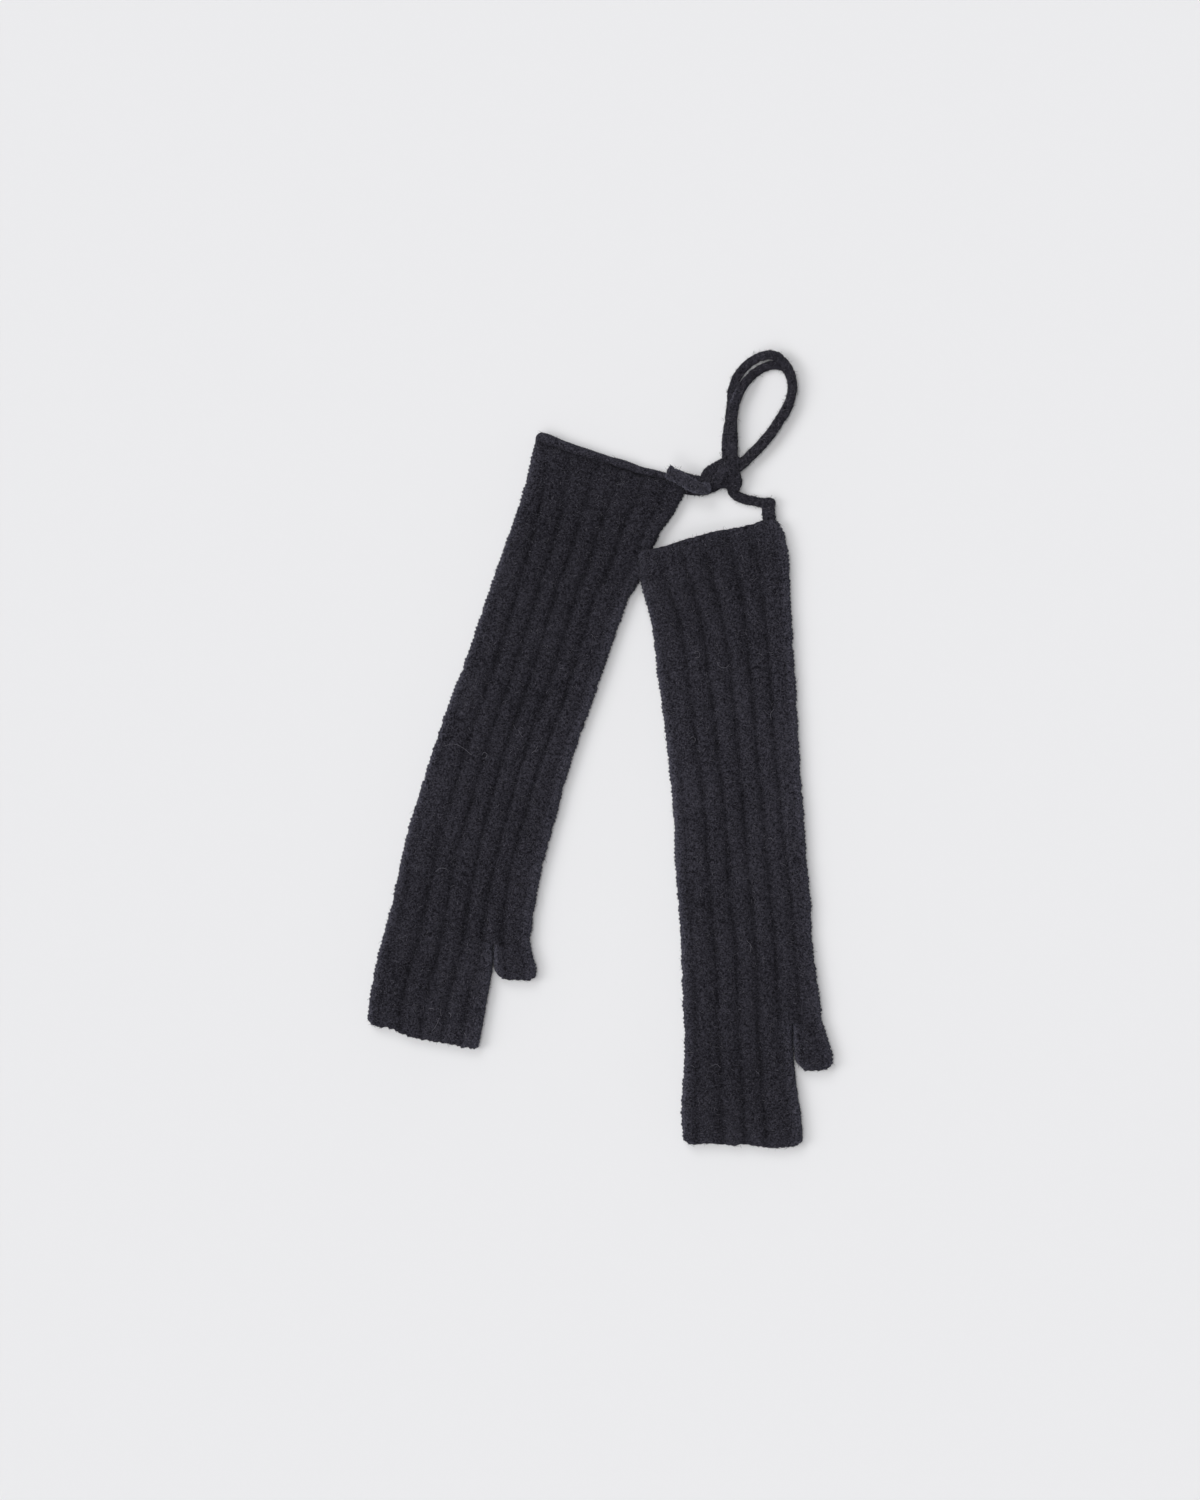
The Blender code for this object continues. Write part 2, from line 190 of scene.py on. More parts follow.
# The felted wool: dark and light fibres in patterns of several sizes, over knitted stitches.
ribWool = {
    "dark": (0.0031, 0.0028, 0.0045),
    "light": (0.105, 0.1010, 0.1290),
    "sheenColour": (0.034, 0.034, 0.045),  # painted sheen, added where an edge catches the light
    "sheenEvenly": 0.15,  # share of the painted sheen that doesn't follow the patterns
    "middle": 0.173,  # share of light wool where all the patterns are at their middle
    "least": 0.02,
    "bendSize": 5.0 * mm,  # the fibres' waves, and how far these move them
    "bendReach": (0.006, 0.006, 0.003),
    "turns": (0.35, 1.05, 1.75, 2.6),  # directions of the fibres, in radians
    "fibreSize": (6.0 * mm, 0.9 * mm),  # along and across a fibre
    "fibreSharpness": 9.0,
    "streakSize": (2.6 * mm, 0.8 * mm),
    "streakTurn": 0.3,
    "curlSize": 2.4 * mm,
    "curlSharpness": 10.0,
    "noises": {"grain": (1.15 * mm, 0.6), "blotch": (4.0 * mm, 0.5), "cloud": (45.0 * mm, 0.5)},
    # how much each pattern changes the share of light wool, and the pattern's own middle
    "shares": {
        "fibres": (0.21, 0.62),
        "streaks": (0.23, 2.0),
        "curls": (0.06, 0.35),
        "grain": (0.76, 0.5),
        "blotch": (0.09, 0.5),
        "cloud": (0.13, 0.5),
    },
    "stitchRelief": 0.12 * mm,
    "stitchStrength": 0.7,
    "stitchSlant": 1.6,
    "feltRelief": 0.40 * mm,
    "feltStrength": 0.8,
    "fibreRelief": 0.5,  # shares of the felt's relief, beside the grain's
    "streakRelief": 0.6,
    "finish": {
        "Roughness": 0.95,
        "Specular IOR Level": 0.05,
        "Sheen Weight": 0.05,
        "Sheen Roughness": 0.5,
        "Sheen Tint": (0.80, 0.80, 0.95, 1.0),
    },
}
strapShares = dict(ribWool["shares"], blotch=(0.10, 0.5), cloud=(0.0, 0.5))
strapWool = dict(ribWool, middle=0.20, stitchRelief=0.08 * mm, shares=strapShares)


def mathNode(tree, operation, *values):
    node = tree.nodes.new("ShaderNodeMath")
    node.operation = operation
    for socket, value in zip(node.inputs, values):
        if isinstance(value, (int, float)):
            socket.default_value = value
        else:
            link(tree, value, socket)
    return node.outputs[0]


def attributeNode(tree, name, output="Fac"):
    node = tree.nodes.new("ShaderNodeAttribute")
    node.attribute_name = name
    return node.outputs[output]


def noiseNode(tree, vector, size, detail=1.0, roughness=0.5, output="Fac"):
    node = tree.nodes.new("ShaderNodeTexNoise")
    setInputs(node, {"Scale": 1 / size, "Detail": detail, "Roughness": roughness})
    link(tree, vector, node.inputs["Vector"])
    return node.outputs[output]


def turnedPlace(tree, vector, turn, size):
    # the place counted in pattern sizes, long one way and short across it
    long, across = size
    node = tree.nodes.new("ShaderNodeMapping")
    node.vector_type = "TEXTURE"
    setInputs(node, {"Rotation": (0.0, 0.0, turn), "Scale": (long, across, across)})
    link(tree, vector, node.inputs["Vector"])
    return node.outputs[0]


def fineLines(tree, vector, size, sharpness):
    # 1 along the thin lines where a noise crosses its middle value, 0 away from them
    value = noiseNode(tree, vector, size, 1.0, 0.6)
    away = mathNode(tree, "ABSOLUTE", mathNode(tree, "SUBTRACT", value, 0.5))
    away = mathNode(tree, "MINIMUM", mathNode(tree, "MULTIPLY", away, sharpness), 1.0)
    return mathNode(tree, "SUBTRACT", 1.0, away)


def colourMix(tree, factor, first, second, blend="MIX"):
    node = tree.nodes.new("ShaderNodeMix")
    node.data_type = "RGBA"
    node.blend_type = blend
    for name, value in (("Factor", factor), ("A", first), ("B", second)):
        socket = node.inputs[name]
        if isinstance(value, (int, float)):
            socket.default_value = value
        elif isinstance(value, tuple):
            socket.default_value = (*value, 1.0)
        else:
            link(tree, value, socket)
    return node.outputs["Result"]


def reliefNode(tree, height, distance, strength, under=None):
    node = tree.nodes.new("ShaderNodeBump")
    setInputs(node, {"Distance": distance, "Strength": strength})
    link(tree, height, node.inputs["Height"])
    if under is not None:
        link(tree, under, node.inputs["Normal"])
    return node.outputs["Normal"]


def woolPatterns(tree, wool):
    place = tree.nodes.new("ShaderNodeTexCoord").outputs["Object"]
    # a slightly wavy place, so that the fibres bend
    waved = tree.nodes.new("ShaderNodeVectorMath")
    waved.operation = "MULTIPLY_ADD"
    waved.inputs[1].default_value = wool["bendReach"]
    link(tree, noiseNode(tree, place, wool["bendSize"], output="Color"), waved.inputs[0])
    link(tree, place, waved.inputs[2])
    wavy = waved.outputs[0]

    fibres = streaks = None
    for turn in wool["turns"]:
        stretched = turnedPlace(tree, wavy, turn, wool["fibreSize"])
        lines = fineLines(tree, stretched, 1.0, wool["fibreSharpness"])
        fibres = mathNode(tree, "MAXIMUM", fibres, lines) if fibres else lines
        stretched = turnedPlace(tree, wavy, turn + wool["streakTurn"], wool["streakSize"])
        streak = noiseNode(tree, stretched, 1.0, 0.0)
        streaks = mathNode(tree, "ADD", streaks, streak) if streaks else streak
    patterns = {"fibres": fibres, "streaks": streaks}
    patterns["curls"] = fineLines(tree, wavy, wool["curlSize"], wool["curlSharpness"])
    for name, (size, roughness) in wool["noises"].items():
        patterns[name] = noiseNode(tree, place, size, 1.0, roughness)
    return patterns


def woolMaterial(name, wool):
    material, tree, shader = newMaterial(name)
    patterns = woolPatterns(tree, wool)
    share = wool["middle"]
    for pattern, (weight, middle) in wool["shares"].items():
        change = mathNode(tree, "MULTIPLY_ADD", patterns[pattern], weight, -middle * weight)
        share = mathNode(tree, "ADD", share, change)
    share = mathNode(tree, "MAXIMUM", share, wool["least"])
    colour = colourMix(tree, share, wool["dark"], wool["light"])

    # the first attribute says how much of its colour a place keeps, with painted shade in the grooves,
    # creases and hollows, and pale how much painted sheen it has
    shaded = colourMix(tree, 1.0, colour, attributeNode(tree, "toneAndShade"), "MULTIPLY")
    evenly = wool["sheenEvenly"]
    sheenPattern = mathNode(tree, "MULTIPLY_ADD", share, (1 - evenly) / wool["middle"], evenly)
    sheenShare = mathNode(tree, "MULTIPLY", attributeNode(tree, "pale"), sheenPattern)
    link(tree, colourMix(tree, sheenShare, shaded, wool["sheenColour"], "ADD"), shader.inputs["Base Color"])

    # stitches: slanting legs that meet on each crest, under the felt
    parts = tree.nodes.new("ShaderNodeSeparateXYZ")
    link(tree, attributeNode(tree, "knit", "Vector"), parts.inputs[0])
    leg = mathNode(tree, "PINGPONG", parts.outputs["X"], 0.5)
    slant = mathNode(tree, "MULTIPLY_ADD", leg, wool["stitchSlant"], parts.outputs["Y"])
    stitch = mathNode(tree, "SINE", mathNode(tree, "MULTIPLY", slant, 2 * math.pi))
    stitched = reliefNode(tree, stitch, wool["stitchRelief"], wool["stitchStrength"])
    felt = mathNode(tree, "MULTIPLY_ADD", patterns["fibres"], wool["fibreRelief"], patterns["grain"])
    felt = mathNode(tree, "MULTIPLY_ADD", patterns["streaks"], wool["streakRelief"], felt)
    felt = mathNode(tree, "ADD", felt, patterns["blotch"])
    relief = reliefNode(tree, felt, wool["feltRelief"], wool["feltStrength"], stitched)
    link(tree, relief, shader.inputs["Normal"])
    setInputs(shader, wool["finish"])
    return material


print("wool")
ribWoolMaterial = woolMaterial("charcoalRibWool", ribWool)
strapWoolMaterial = woolMaterial("charcoalStrapWool", strapWool)

# The knitted tubes, in millimetres where nothing else is said.
cloth = {
    "sideRound": 4.0,  # radius of the folded sides
    "wall": 3.0,
    "hollow": 1.0,
    "edgeRound": 1.3,
    "grooveTop": 6.6,
    "ribHeight": 2.2,
    "ribPower": 0.8,  # less than 1 makes the crests wide and the grooves narrow
    "ribDepth": 0.85,
    "ribEnds": 0.14,  # share of the width from the outer grooves to where the ribs end
    "sideFade": (4.0, 12.0, 0.25),  # the ribs start to fade in, over this length, from this share
    "grooveWidth": 0.145,  # share of a rib
    "grooveDark": 0.80,
    "grooveShade": 0.60,  # share of its colour that the wool keeps in a groove, partly darker felt and partly painted shade
    "underRib": 0.8,
    "stitchRow": 3.1,
    "stitchHeight": 0.12,
    "mouth": (0.9, 14.0),  # how high an opening gapes, and how soon that ends
    "edgeWave": (0.45, 5.3),  # height and length of the openings' small waves
    "edgeReach": 5.0,  # how far from an opening its bumps and its bow are felt
    "bowReach": 24.0,
    "thumbBow": 0.6,
    "scallop": (1.40, 0.65),  # size of the side's scallops, and the level that they stand around
    "slitScallop": 0.4,
    "flareLength": 78.0,  # of the arm, where its points move over to meet the hand's
    "crotchShare": 0.7875,
    "rowPitch": 0.84,
    "innerRowPitch": 9.0,
    "handRimRows": 7,
    "frontPoints": 96,
    "backPoints": 30,
    "sidePoints": 9,
}
# Soft unevenness: how much, how wide and the step of its seed.
clothLumps = {
    "ribDepth": (0.45, 12.0, 0),
    "swells": (0.45, 34.0, 1),
    "lumps": (0.22, 5.0, 2),
    "edges": (1.0, 4.5, 4),
    "roll": (0.07, 7.0, 5),
    "sides": (1.0, 7.0, 6),
    "fineEdges": (0.5, 2.2, 7),
    "fineSides": (0.8, 3.4, 8),
    "grooves": (0.80, 9.0, 9),
    "grooveWidth": (0.5, 15.0, 10),
}
# The rolled arm edge of the left mitten's back layer, and the front layer's edge beside it.
armRoll = {
    "start": 200.0,  # degrees: over the hollow, then out and under
    "sweep": 290.0,
    "tuck": 0.72,  # share of the roll's radius that the front's edge goes under it
    "gap": 0.9,
    "looseGap": 1.3,  # right of the middle the edge lies loose
    "loose": (0.42, 0.12, 0.90, 0.14),  # shares across: start, how it eases in, end, how it eases out
    "touchReach": 13.0,
    "press": (0.7, 3.0),  # how deep the front is pressed, and how soon that ends
    "pull": (0.9, 3.5, 5.0),  # how far the left corner is drawn in, down the side and across
    "crease": (158.0, 40.0),  # degrees where the crease's painted shade ends, and how soft it is
    "creaseShade": 0.2,
    "edgeShade": (0.40, 1.1),  # how dark the painted shade on the front's edge is, and how far
    "edgePale": 6.0,
}
# Painted sheen where the light catches the wool's edges: the left and the right side, the openings, and how
# far from them.
paintedEdgeSheen = {
    "sides": (0.70, 0.95),
    "least": 0.2,
    "ease": 20.0,
    "sideReach": 2.9,
    "armEdge": 0.1,
    "handEdge": 0.16,
    "edgeReach": 9.0,
}

# Sections in millimetres: left x, left y, right x, right y.
leftMitten = {
    "name": "leftMittenCloth",
    "seed": 3,
    "arm": (
        (-48.5, 260.0, 66.3, 227.3),
        (-53.2, 238.0, 56.2, 207.6),
        (-57.4, 221.0, 44.5, 190.4),
        (-70.0, 185.0, 29.4, 154.6),
        (-75.4, 169.5, 21.2, 140.8),
        (-84.5, 143.0, 11.0, 112.5),
        (-99.8, 98.0, -4.6, 67.5),
        (-116.8, 53.0, -21.0, 21.0),
        (-131.5, 8.0, -32.8, -21.6),
        (-145.0, -37.0, -43.8, -63.5),
        (-154.5, -82.0, -51.0, -107.2),
        (-158.0, -95.0, -50.0, -121.8),
    ),
    "hand": (
        (-158.0, -95.0, -79.0, -114.5),
        (-162.5, -112.0, -79.4, -131.5),
        (-168.0, -134.5, -83.4, -154.8),
        (-172.0, -157.0, -87.1, -176.3),
        (-174.0, -173.5, -90.4, -192.8),
    ),
    "thumb": (
        (-79.0, -114.5, -50.0, -121.8),
        (-79.0, -127.5, -47.2, -133.0),
        (-78.4, -140.5, -46.8, -142.0),
    ),
    # the grooves: share of the arm's length, then each one's share of the width
    "grooves": (
        (0.00, -0.03, 0.09, 0.24, 0.41, 0.57, 0.72, 0.87),
        (0.15, 0.02, 0.155, 0.315, 0.45, 0.60, 0.755, 0.905),
        (0.30, 0.06, 0.210, 0.355, 0.485, 0.635, 0.770, 0.915),
        (0.50, 0.07, 0.225, 0.368, 0.508, 0.655, 0.800, 0.920),
        (0.70, 0.07, 0.240, 0.382, 0.510, 0.655, 0.780, 0.912),
        (0.85, 0.065, 0.242, 0.384, 0.535, 0.665, 0.785, 0.930),
        (1.00, 0.075, 0.235, 0.385, 0.530, 0.660, 0.800, 0.935),
        (1.10, 0.073, 0.211, 0.357, 0.495, 0.619, 0.800, 0.935),
    ),
    "plainTop": 0.45,  # how much of the ribs shows at the arm opening
    "plainLength": 70.0,
    "rimRows": 16,
    # rolled edge of the back layer: share across, how far its middle lies past the opening, radius
    "roll": (
        (0.00, 5.2, 4.6), (0.07, 5.1, 4.6), (0.16, 4.1, 4.3), (0.25, 3.3, 4.2), (0.36, 2.8, 4.2),
        (0.48, 2.5, 3.6), (0.58, 2.7, 4.0), (0.68, 1.8, 3.5), (0.82, 2.8, 3.1), (1.00, 2.6, 2.8),
    ),
    # painted highlight on the roll, which faces up to the light: the sheen added to it and its lightness
    "rollPale": 0.36,
    "rollLight": 1.04,
    "rollOver": 1.5,  # how far the roll's end stands out past the left side
    "armEdge": ((0.0, 0.0), (1.0, 0.0)),  # share across, how far the edge lies past its section
    "fingerEdge": (
        (0.00, 0.3), (0.06, 0.9), (0.10, 1.7), (0.15, 0.3), (0.26, 1.1), (0.32, 2.1), (0.42, 3.3),
        (0.53, 3.1), (0.65, 2.1), (0.76, 2.0), (0.82, 1.9), (1.00, 1.4),
    ),
    "edgeBumps": (0.5, 1.05, 0.6),  # how uneven the edges of the arm, the hand and the thumb are
    # radius of the left and the right corner at the arm, the hand and the thumb
    "corners": ((0.0, 0.0), (2.6, 2.0), (7.0, 4.4)),
    "sheenFrom": (0.0, 85.0),  # how far down each side's painted sheen begins
    # how light the wool is down the length in millimetres, and across in shares
    "toneDown": (
        (0, 0.82), (47, 0.85), (110, 0.87), (142, 0.90), (205, 0.94), (268, 0.97), (300, 0.99), (331, 0.95),
        (395, 0.91), (434, 0.93),
    ),
    "toneAcross": ((0.0, 1.06), (0.2, 0.98), (0.35, 0.94), (0.55, 0.94), (0.75, 1.00), (1.0, 1.06)),
    "lift": {},
}
rightMitten = {
    "name": "rightMittenCloth",
    "seed": 8,
    "arm": (
        (29.5, 180.0, 133.2, 203.8),
        (30.0, 167.0, 139.6, 189.4),
        (31.0, 154.0, 142.3, 172.5),
        (38.5, 128.0, 143.2, 144.5),
        (43.0, 94.0, 145.5, 104.0),
        (47.5, 60.5, 148.0, 66.5),
        (52.0, 23.0, 150.0, 26.0),
        (55.5, -14.5, 153.0, -13.0),
        (57.0, -52.0, 155.5, -52.0),
        (59.5, -86.0, 158.5, -86.0),
        (61.5, -120.0, 160.5, -120.0),
        (63.5, -173.5, 167.4, -173.5),
    ),
    "hand": (
        (63.5, -173.5, 145.0, -173.5),
        (64.0, -194.5, 145.5, -194.5),
        (62.5, -221.0, 148.0, -221.0),
        (61.5, -245.5, 151.5, -245.5),
        (63.5, -266.5, 153.0, -266.5),
    ),
    "thumb": (
        (145.0, -173.5, 167.4, -173.5),
        (145.1, -187.0, 172.0, -187.0),
        (146.3, -199.0, 175.0, -199.0),
        (147.4, -209.6, 174.6, -208.4),
    ),
    "grooves": (
        (0.00, -0.012, 0.128, 0.288, 0.448, 0.618, 0.773, 0.918),
        (0.14, 0.038, 0.193, 0.348, 0.498, 0.663, 0.808, 0.933),
        (0.25, 0.068, 0.220, 0.373, 0.533, 0.673, 0.820, 0.938),
        (0.45, 0.073, 0.233, 0.380, 0.540, 0.683, 0.818, 0.938),
        (0.60, 0.078, 0.248, 0.400, 0.546, 0.693, 0.833, 0.943),
        (0.75, 0.083, 0.246, 0.400, 0.556, 0.703, 0.861, 0.948),
        (0.88, 0.088, 0.263, 0.418, 0.568, 0.714, 0.873, 0.958),
        (1.00, 0.083, 0.243, 0.393, 0.538, 0.688, 0.838, 0.953),
        (1.10, 0.094, 0.265, 0.410, 0.546, 0.710, 0.838, 0.953),
    ),
    "plainTop": 0.35,
    "plainLength": 32.0,
    "rimRows": 7,
    "roll": (),
    "armEdge": (
        (0.00, -1.0), (0.10, -2.0), (0.18, -2.0), (0.30, -0.8), (0.41, 0.2), (0.52, 1.0), (0.64, 0.4),
        (0.75, -0.8), (0.82, -0.2), (0.88, 0.8), (1.00, 0.0),
    ),
    "fingerEdge": (
        (0.00, -1.7), (0.10, -1.7), (0.20, -2.6), (0.30, -1.8), (0.42, -1.0), (0.50, -1.7), (0.57, -0.7),
        (0.65, 0.2), (0.73, 0.8), (0.77, 1.5), (0.81, 0.2), (0.86, 0.1), (0.93, -0.9), (1.00, -0.9),
    ),
    "edgeBumps": (0.5, 0.7, 0.9),
    "corners": ((2.0, 2.0), (2.6, 3.4), (8.5, 4.2)),
    "sheenFrom": (30.0, 0.0),
    "toneDown": (
        (0, 0.93), (34, 0.95), (94, 1.00), (124, 1.03), (155, 1.07), (185, 1.04), (215, 1.00), (245, 1.00),
        (275, 0.92), (336, 0.93), (366, 0.88), (427, 0.86), (457, 0.84),
    ),
    "toneAcross": ((0.0, 1.04), (0.3, 0.98), (0.5, 0.96), (0.7, 0.99), (1.0, 1.04)),
    "lift": {"height": 7.8, "at": (33.0, 170.0), "flat": 21.0, "ease": 52.0},  # over the left mitten
}


def newLayers(bm):
    layers = bm.verts.layers
    for kind, name in ((layers.float, "toneAndShade"), (layers.float_vector, "knit"), (layers.float, "pale")):
        kind.new(name)
    return layers.float["toneAndShade"], layers.float_vector["knit"], layers.float["pale"]


def placePoints(verts, layers, points, *values):
    # moves the points to their places in millimetres and writes their attributes
    for vert, point, *own in zip(verts, points, *values):
        vert.co = point * mm
        for layer, value in zip(layers, own):
            vert[layer] = value


def finishPiece(bm, name, material):
    bmesh.ops.recalc_face_normals(bm, faces=bm.faces)
    mesh = bpy.data.meshes.new(name)
    bm.to_mesh(mesh)
    bm.free()
    mesh.shade_smooth()
    mesh.materials.append(material)
    return addObject(name, mesh)


def sectionLine(sections):
    # the two edges of the flat cloth along its length, and the length down its middle
    fine = smoothCurve(sections, 1.0)
    t = distances(fine) / distances(fine)[-1]
    middle = (fine[:, :2] + fine[:, 2:]) / 2
    return SimpleNamespace(t=t, edges=fine, length=distances(middle)[-1])


def rowPlan(mitten):
    # each row's part, share of that part's length and skin, which is 0 inside and 1 outside:
    # from the crotch up inside the arm, over its edge, down the outside and back in
    arm, hand = sectionLine(mitten["arm"]), sectionLine(mitten["hand"])
    pitches = (cloth["innerRowPitch"], cloth["rowPitch"])
    innerRows, outerRows = [[round(line.length / pitch) for line in (arm, hand)] for pitch in pitches]
    start = 1.0 - cloth["wall"] / arm.length
    rows = [(0, t, 0.0) for t in np.linspace(start, 0.0, innerRows[0])]
    rows += [(0, 0.0, skin) for skin in np.linspace(0.0, 1.0, mitten["rimRows"] + 2)[1:-1]]
    rows += [(0, t, 1.0) for t in np.linspace(0.0, 1.0, outerRows[0])]
    crotchRow = len(rows) - 1
    rows += [(1, t, 1.0) for t in np.linspace(0.0, 1.0, outerRows[1])[1:]]
    rows += [(1, 1.0, skin) for skin in np.linspace(1.0, 0.0, cloth["handRimRows"] + 2)[1:-1]]
    rows += [(1, t, 0.0) for t in np.linspace(1.0, 0.0, innerRows[1] + 1)[:-1]]
    return np.array([*rows, (0, start, 0.0)]), crotchRow


def layOutCloth(rowCount, crotchRow):
    # a tube laid out flat, slit along the crotch and sewn up again as a hand and a thumb
    side, front, back = cloth["sidePoints"], cloth["frontPoints"], cloth["backPoints"]
    around = 2 * side + front + back
    crotchShare = cloth["crotchShare"]
    crotch = (side + round(front * crotchShare), 2 * side + front + round(back * (1 - crotchShare)))
    bm = bmesh.new()
    bmesh.ops.create_grid(bm, x_segments=around, y_segments=rowCount - 1, size=0.5)
    sideMark = bm.verts.layers.float.new("sideMark")
    for vert in bm.verts:
        vert.co.x = round((vert.co.x + 0.5) * around)
        vert.co.y = round((vert.co.y + 0.5) * (rowCount - 1))
    places = {(round(v.co.x), round(v.co.y)): v for v in bm.verts}
    bmesh.ops.weld_verts(bm, targetmap={places[around, j]: places[0, j] for j in range(rowCount)})
    slitRows = range(crotchRow, rowCount - 1)
    slit = [bm.edges.get((places[i, j], places[i, j + 1])) for i in crotch for j in slitRows]
    bmesh.ops.split_edges(bm, edges=slit)

    # the slit's front and back edges are joined, on the hand's side and on the thumb's
    sewn = {1: [], 2: []}
    for edge in bm.edges:
        x = edge.verts[0].co.x
        if edge.is_boundary and x == edge.verts[1].co.x and x in crotch:
            onHand = (edge.link_faces[0].calc_center_median().x < x) == (x == crotch[0])
            sewn[1 if onHand else 2].append(edge)
    for mark, edges in sewn.items():
        for edge in edges:
            for vert in edge.verts:
                vert[sideMark] = mark
        bmesh.ops.bridge_loops(bm, edges=edges)
    crossing = [edge for edge in bm.edges if {round(v.co.x) for v in edge.verts} == set(crotch)]
    bmesh.ops.subdivide_edges(bm, edges=crossing, cuts=side - 1, use_grid_fill=True)
    return bm, sideMark, crotch


def isSlitPoint(vert, crotch):
    # whether the subdivision put the point between the front and the back of the slit
    x, y = vert.co.x, vert.co.y
    if not crotch[0] < x < crotch[1] or (vert.is_boundary and round(y) < 1):
        return False
    others = [edge.other_vert(vert).co for edge in vert.link_edges]
    steps = [abs(other.x - x) for other in others if other.y == y]
    return bool(steps) and min(steps) > 1.5  # the tube's own points are 1 apart


def ringPlan():
    # for each point round the tube: its zone, its share across and its angle on a folded side
    side, front, back = cloth["sidePoints"], cloth["frontPoints"], cloth["backPoints"]
    crotch = cloth["crotchShare"]
    frontHand = round(front * crotch)
    backThumb = round(back * (1 - crotch))
    frontThumb, backHand = front - frontHand, back - backThumb
    frontShares = [*np.linspace(0, crotch, frontHand + 1), *np.linspace(crotch, 1, frontThumb + 1)[1:]]
    backShares = [*np.linspace(1, crotch, backThumb + 1), *np.linspace(crotch, 0, backHand + 1)[1:]]
    zone = np.array([0] * side + [1] * (front + 1) + [2] * (side - 1) + [3] * back)
    share = np.array([0.0] * side + frontShares + [1.0] * (side - 1) + backShares[:-1])
    climb = np.linspace(-math.pi / 2, math.pi / 2, side + 1)
    angle = np.array([*climb[:-1], *[math.pi / 2] * (front + 1), *climb[::-1][1:-1], *[-math.pi / 2] * back])
    return zone, share, angle


def readLayout(rows, flat, marks, isNew, crotch):
    # which part, skin and zone of the tube each point of the flat layout is on
    part, t, skin = rows[np.round(flat[:, 1]).astype(int)].T
    column = np.round(flat[:, 0]).astype(int)
    zone, share, angle = [values[column] for values in ringPlan()]

    # points on the slit's new sides stand between the front and the back of the crotch
    front, back = crotch
    reach = (flat[:, 0] - front) / (back - front)
    angle = np.where(isNew, math.pi / 2 - math.pi * reach, angle)
    share = np.where(isNew, cloth["crotchShare"], share)
    onSlit = isNew | (column == front) | (column == back)
    pastCrotch = part > 0.5
    onThumb = pastCrotch & np.where(onSlit, marks > 1.5, (column > front) & (column < back))
    return SimpleNamespace(
        t=t, skin=skin, wrap=(1 - np.cos(math.pi * skin)) / 2, zone=zone, share=share, angle=angle,
        isNew=isNew, onArm=~pastCrotch, onHand=pastCrotch & ~onThumb, onThumb=onThumb,
        frontShare=(1 + np.sin(angle)) / 2, outward=np.cos(angle),
    )


def byPart(at, arm, hand, thumb):
    return np.where(at.onArm, arm, np.where(at.onHand, hand, thumb))


def clothLump(mitten, name, x, y=0.0, z=0.0):
    amount, size, step = clothLumps[name]
    return amount * unevenness(x, y, z, size, mitten["seed"] + step)


def placeSections(mitten, at):
    # where each point's section lies, and how far it is from the crotch and the nearest opening
    count = len(at.t)
    edges = np.zeros((count, 4))
    at.below, at.fromEnd, at.armShare = np.zeros(count), np.zeros(count), np.ones(count)
    at.arm, at.hand, thumb = [sectionLine(mitten[name]) for name in ("arm", "hand", "thumb")]
    rim = cloth["edgeRound"]
    for line, mask in ((at.arm, at.onArm), (at.hand, at.onHand), (thumb, at.onThumb)):
        t = at.t[mask]
        if line is at.arm:
            start = (0.0 if mitten["roll"] else rim) / line.length
            place = start + t * (1 - start)
            at.fromEnd[mask] = t * line.length
            at.armShare[mask] = place
        else:
            place = t * (1 - rim / line.length)
            at.below[mask] = place * line.length
            at.fromEnd[mask] = (1 - t) * line.length
        edges[mask] = np.stack([np.interp(place, line.t, c) for c in line.edges.T], axis=1)
    at.left = edges[:, :2]
    run = edges[:, 2:] - at.left
    at.width = np.linalg.norm(run, axis=1)
    at.across = run / at.width[:, None]
    at.upArm = np.stack([-at.across[:, 1], at.across[:, 0]], axis=1)
    at.along = at.armShare * at.arm.length + at.below


def movedShare(share, old, new):
    low = share * new / old
    high = 1 - (1 - share) * (1 - new) / (1 - old)
    return np.where(share <= old, low, high)


def placeAcross(at):
    # how far across its section each point lies; the sides and the slit's new sides are round
    corner = cloth["hollow"] / 2 + at.wrap * (cloth["sideRound"] - cloth["hollow"] / 2)
    full = (1 - at.wrap) * cloth["wall"] + corner
    opened = np.sqrt(1 - (1 - np.clip(at.below / full, 0, 1)) ** 2)
    leftFull = np.where(at.onThumb, full * opened, full)
    rightFull = np.where(at.onHand, full * opened, full)

    # the arm's points move over to meet the hand's and the thumb's
    crotch = cloth["crotchShare"]
    handWidth, armWidth = [np.linalg.norm(row[2:] - row[:2]) for row in (at.hand.edges[0], at.arm.edges[-1])]
    goal = (handWidth - full) / (armWidth - 2 * full)
    near = smoothStep(1 - (1 - at.armShare) * at.arm.length / cloth["flareLength"])
    here = np.where(at.onArm, crotch + (goal - crotch) * near, crotch)
    thumbShare = (at.share - crotch) / (1 - crotch)
    moved = byPart(at, movedShare(at.share, crotch, here), at.share / crotch, thumbShare)
    u = leftFull + moved * (at.width - leftFull - rightFull)
    bulge = np.where(at.isNew, corner * np.where(at.onArm, 0.0, opened), corner) * at.outward
    onLeft = np.where(at.isNew, at.onThumb, at.zone == 0)
    onRight = np.where(at.isNew, at.onHand, at.zone == 2)
    u = np.where(onLeft, leftFull - bulge, u)
    at.u = np.where(onRight, at.width - rightFull + bulge, u)
    at.handShare = handWidth / armWidth
    at.acrossShare = np.clip(at.u / at.width, 0, 1)
    at.fromSide = np.minimum(at.u, at.width - at.u)
    at.onRight = at.u > at.width / 2


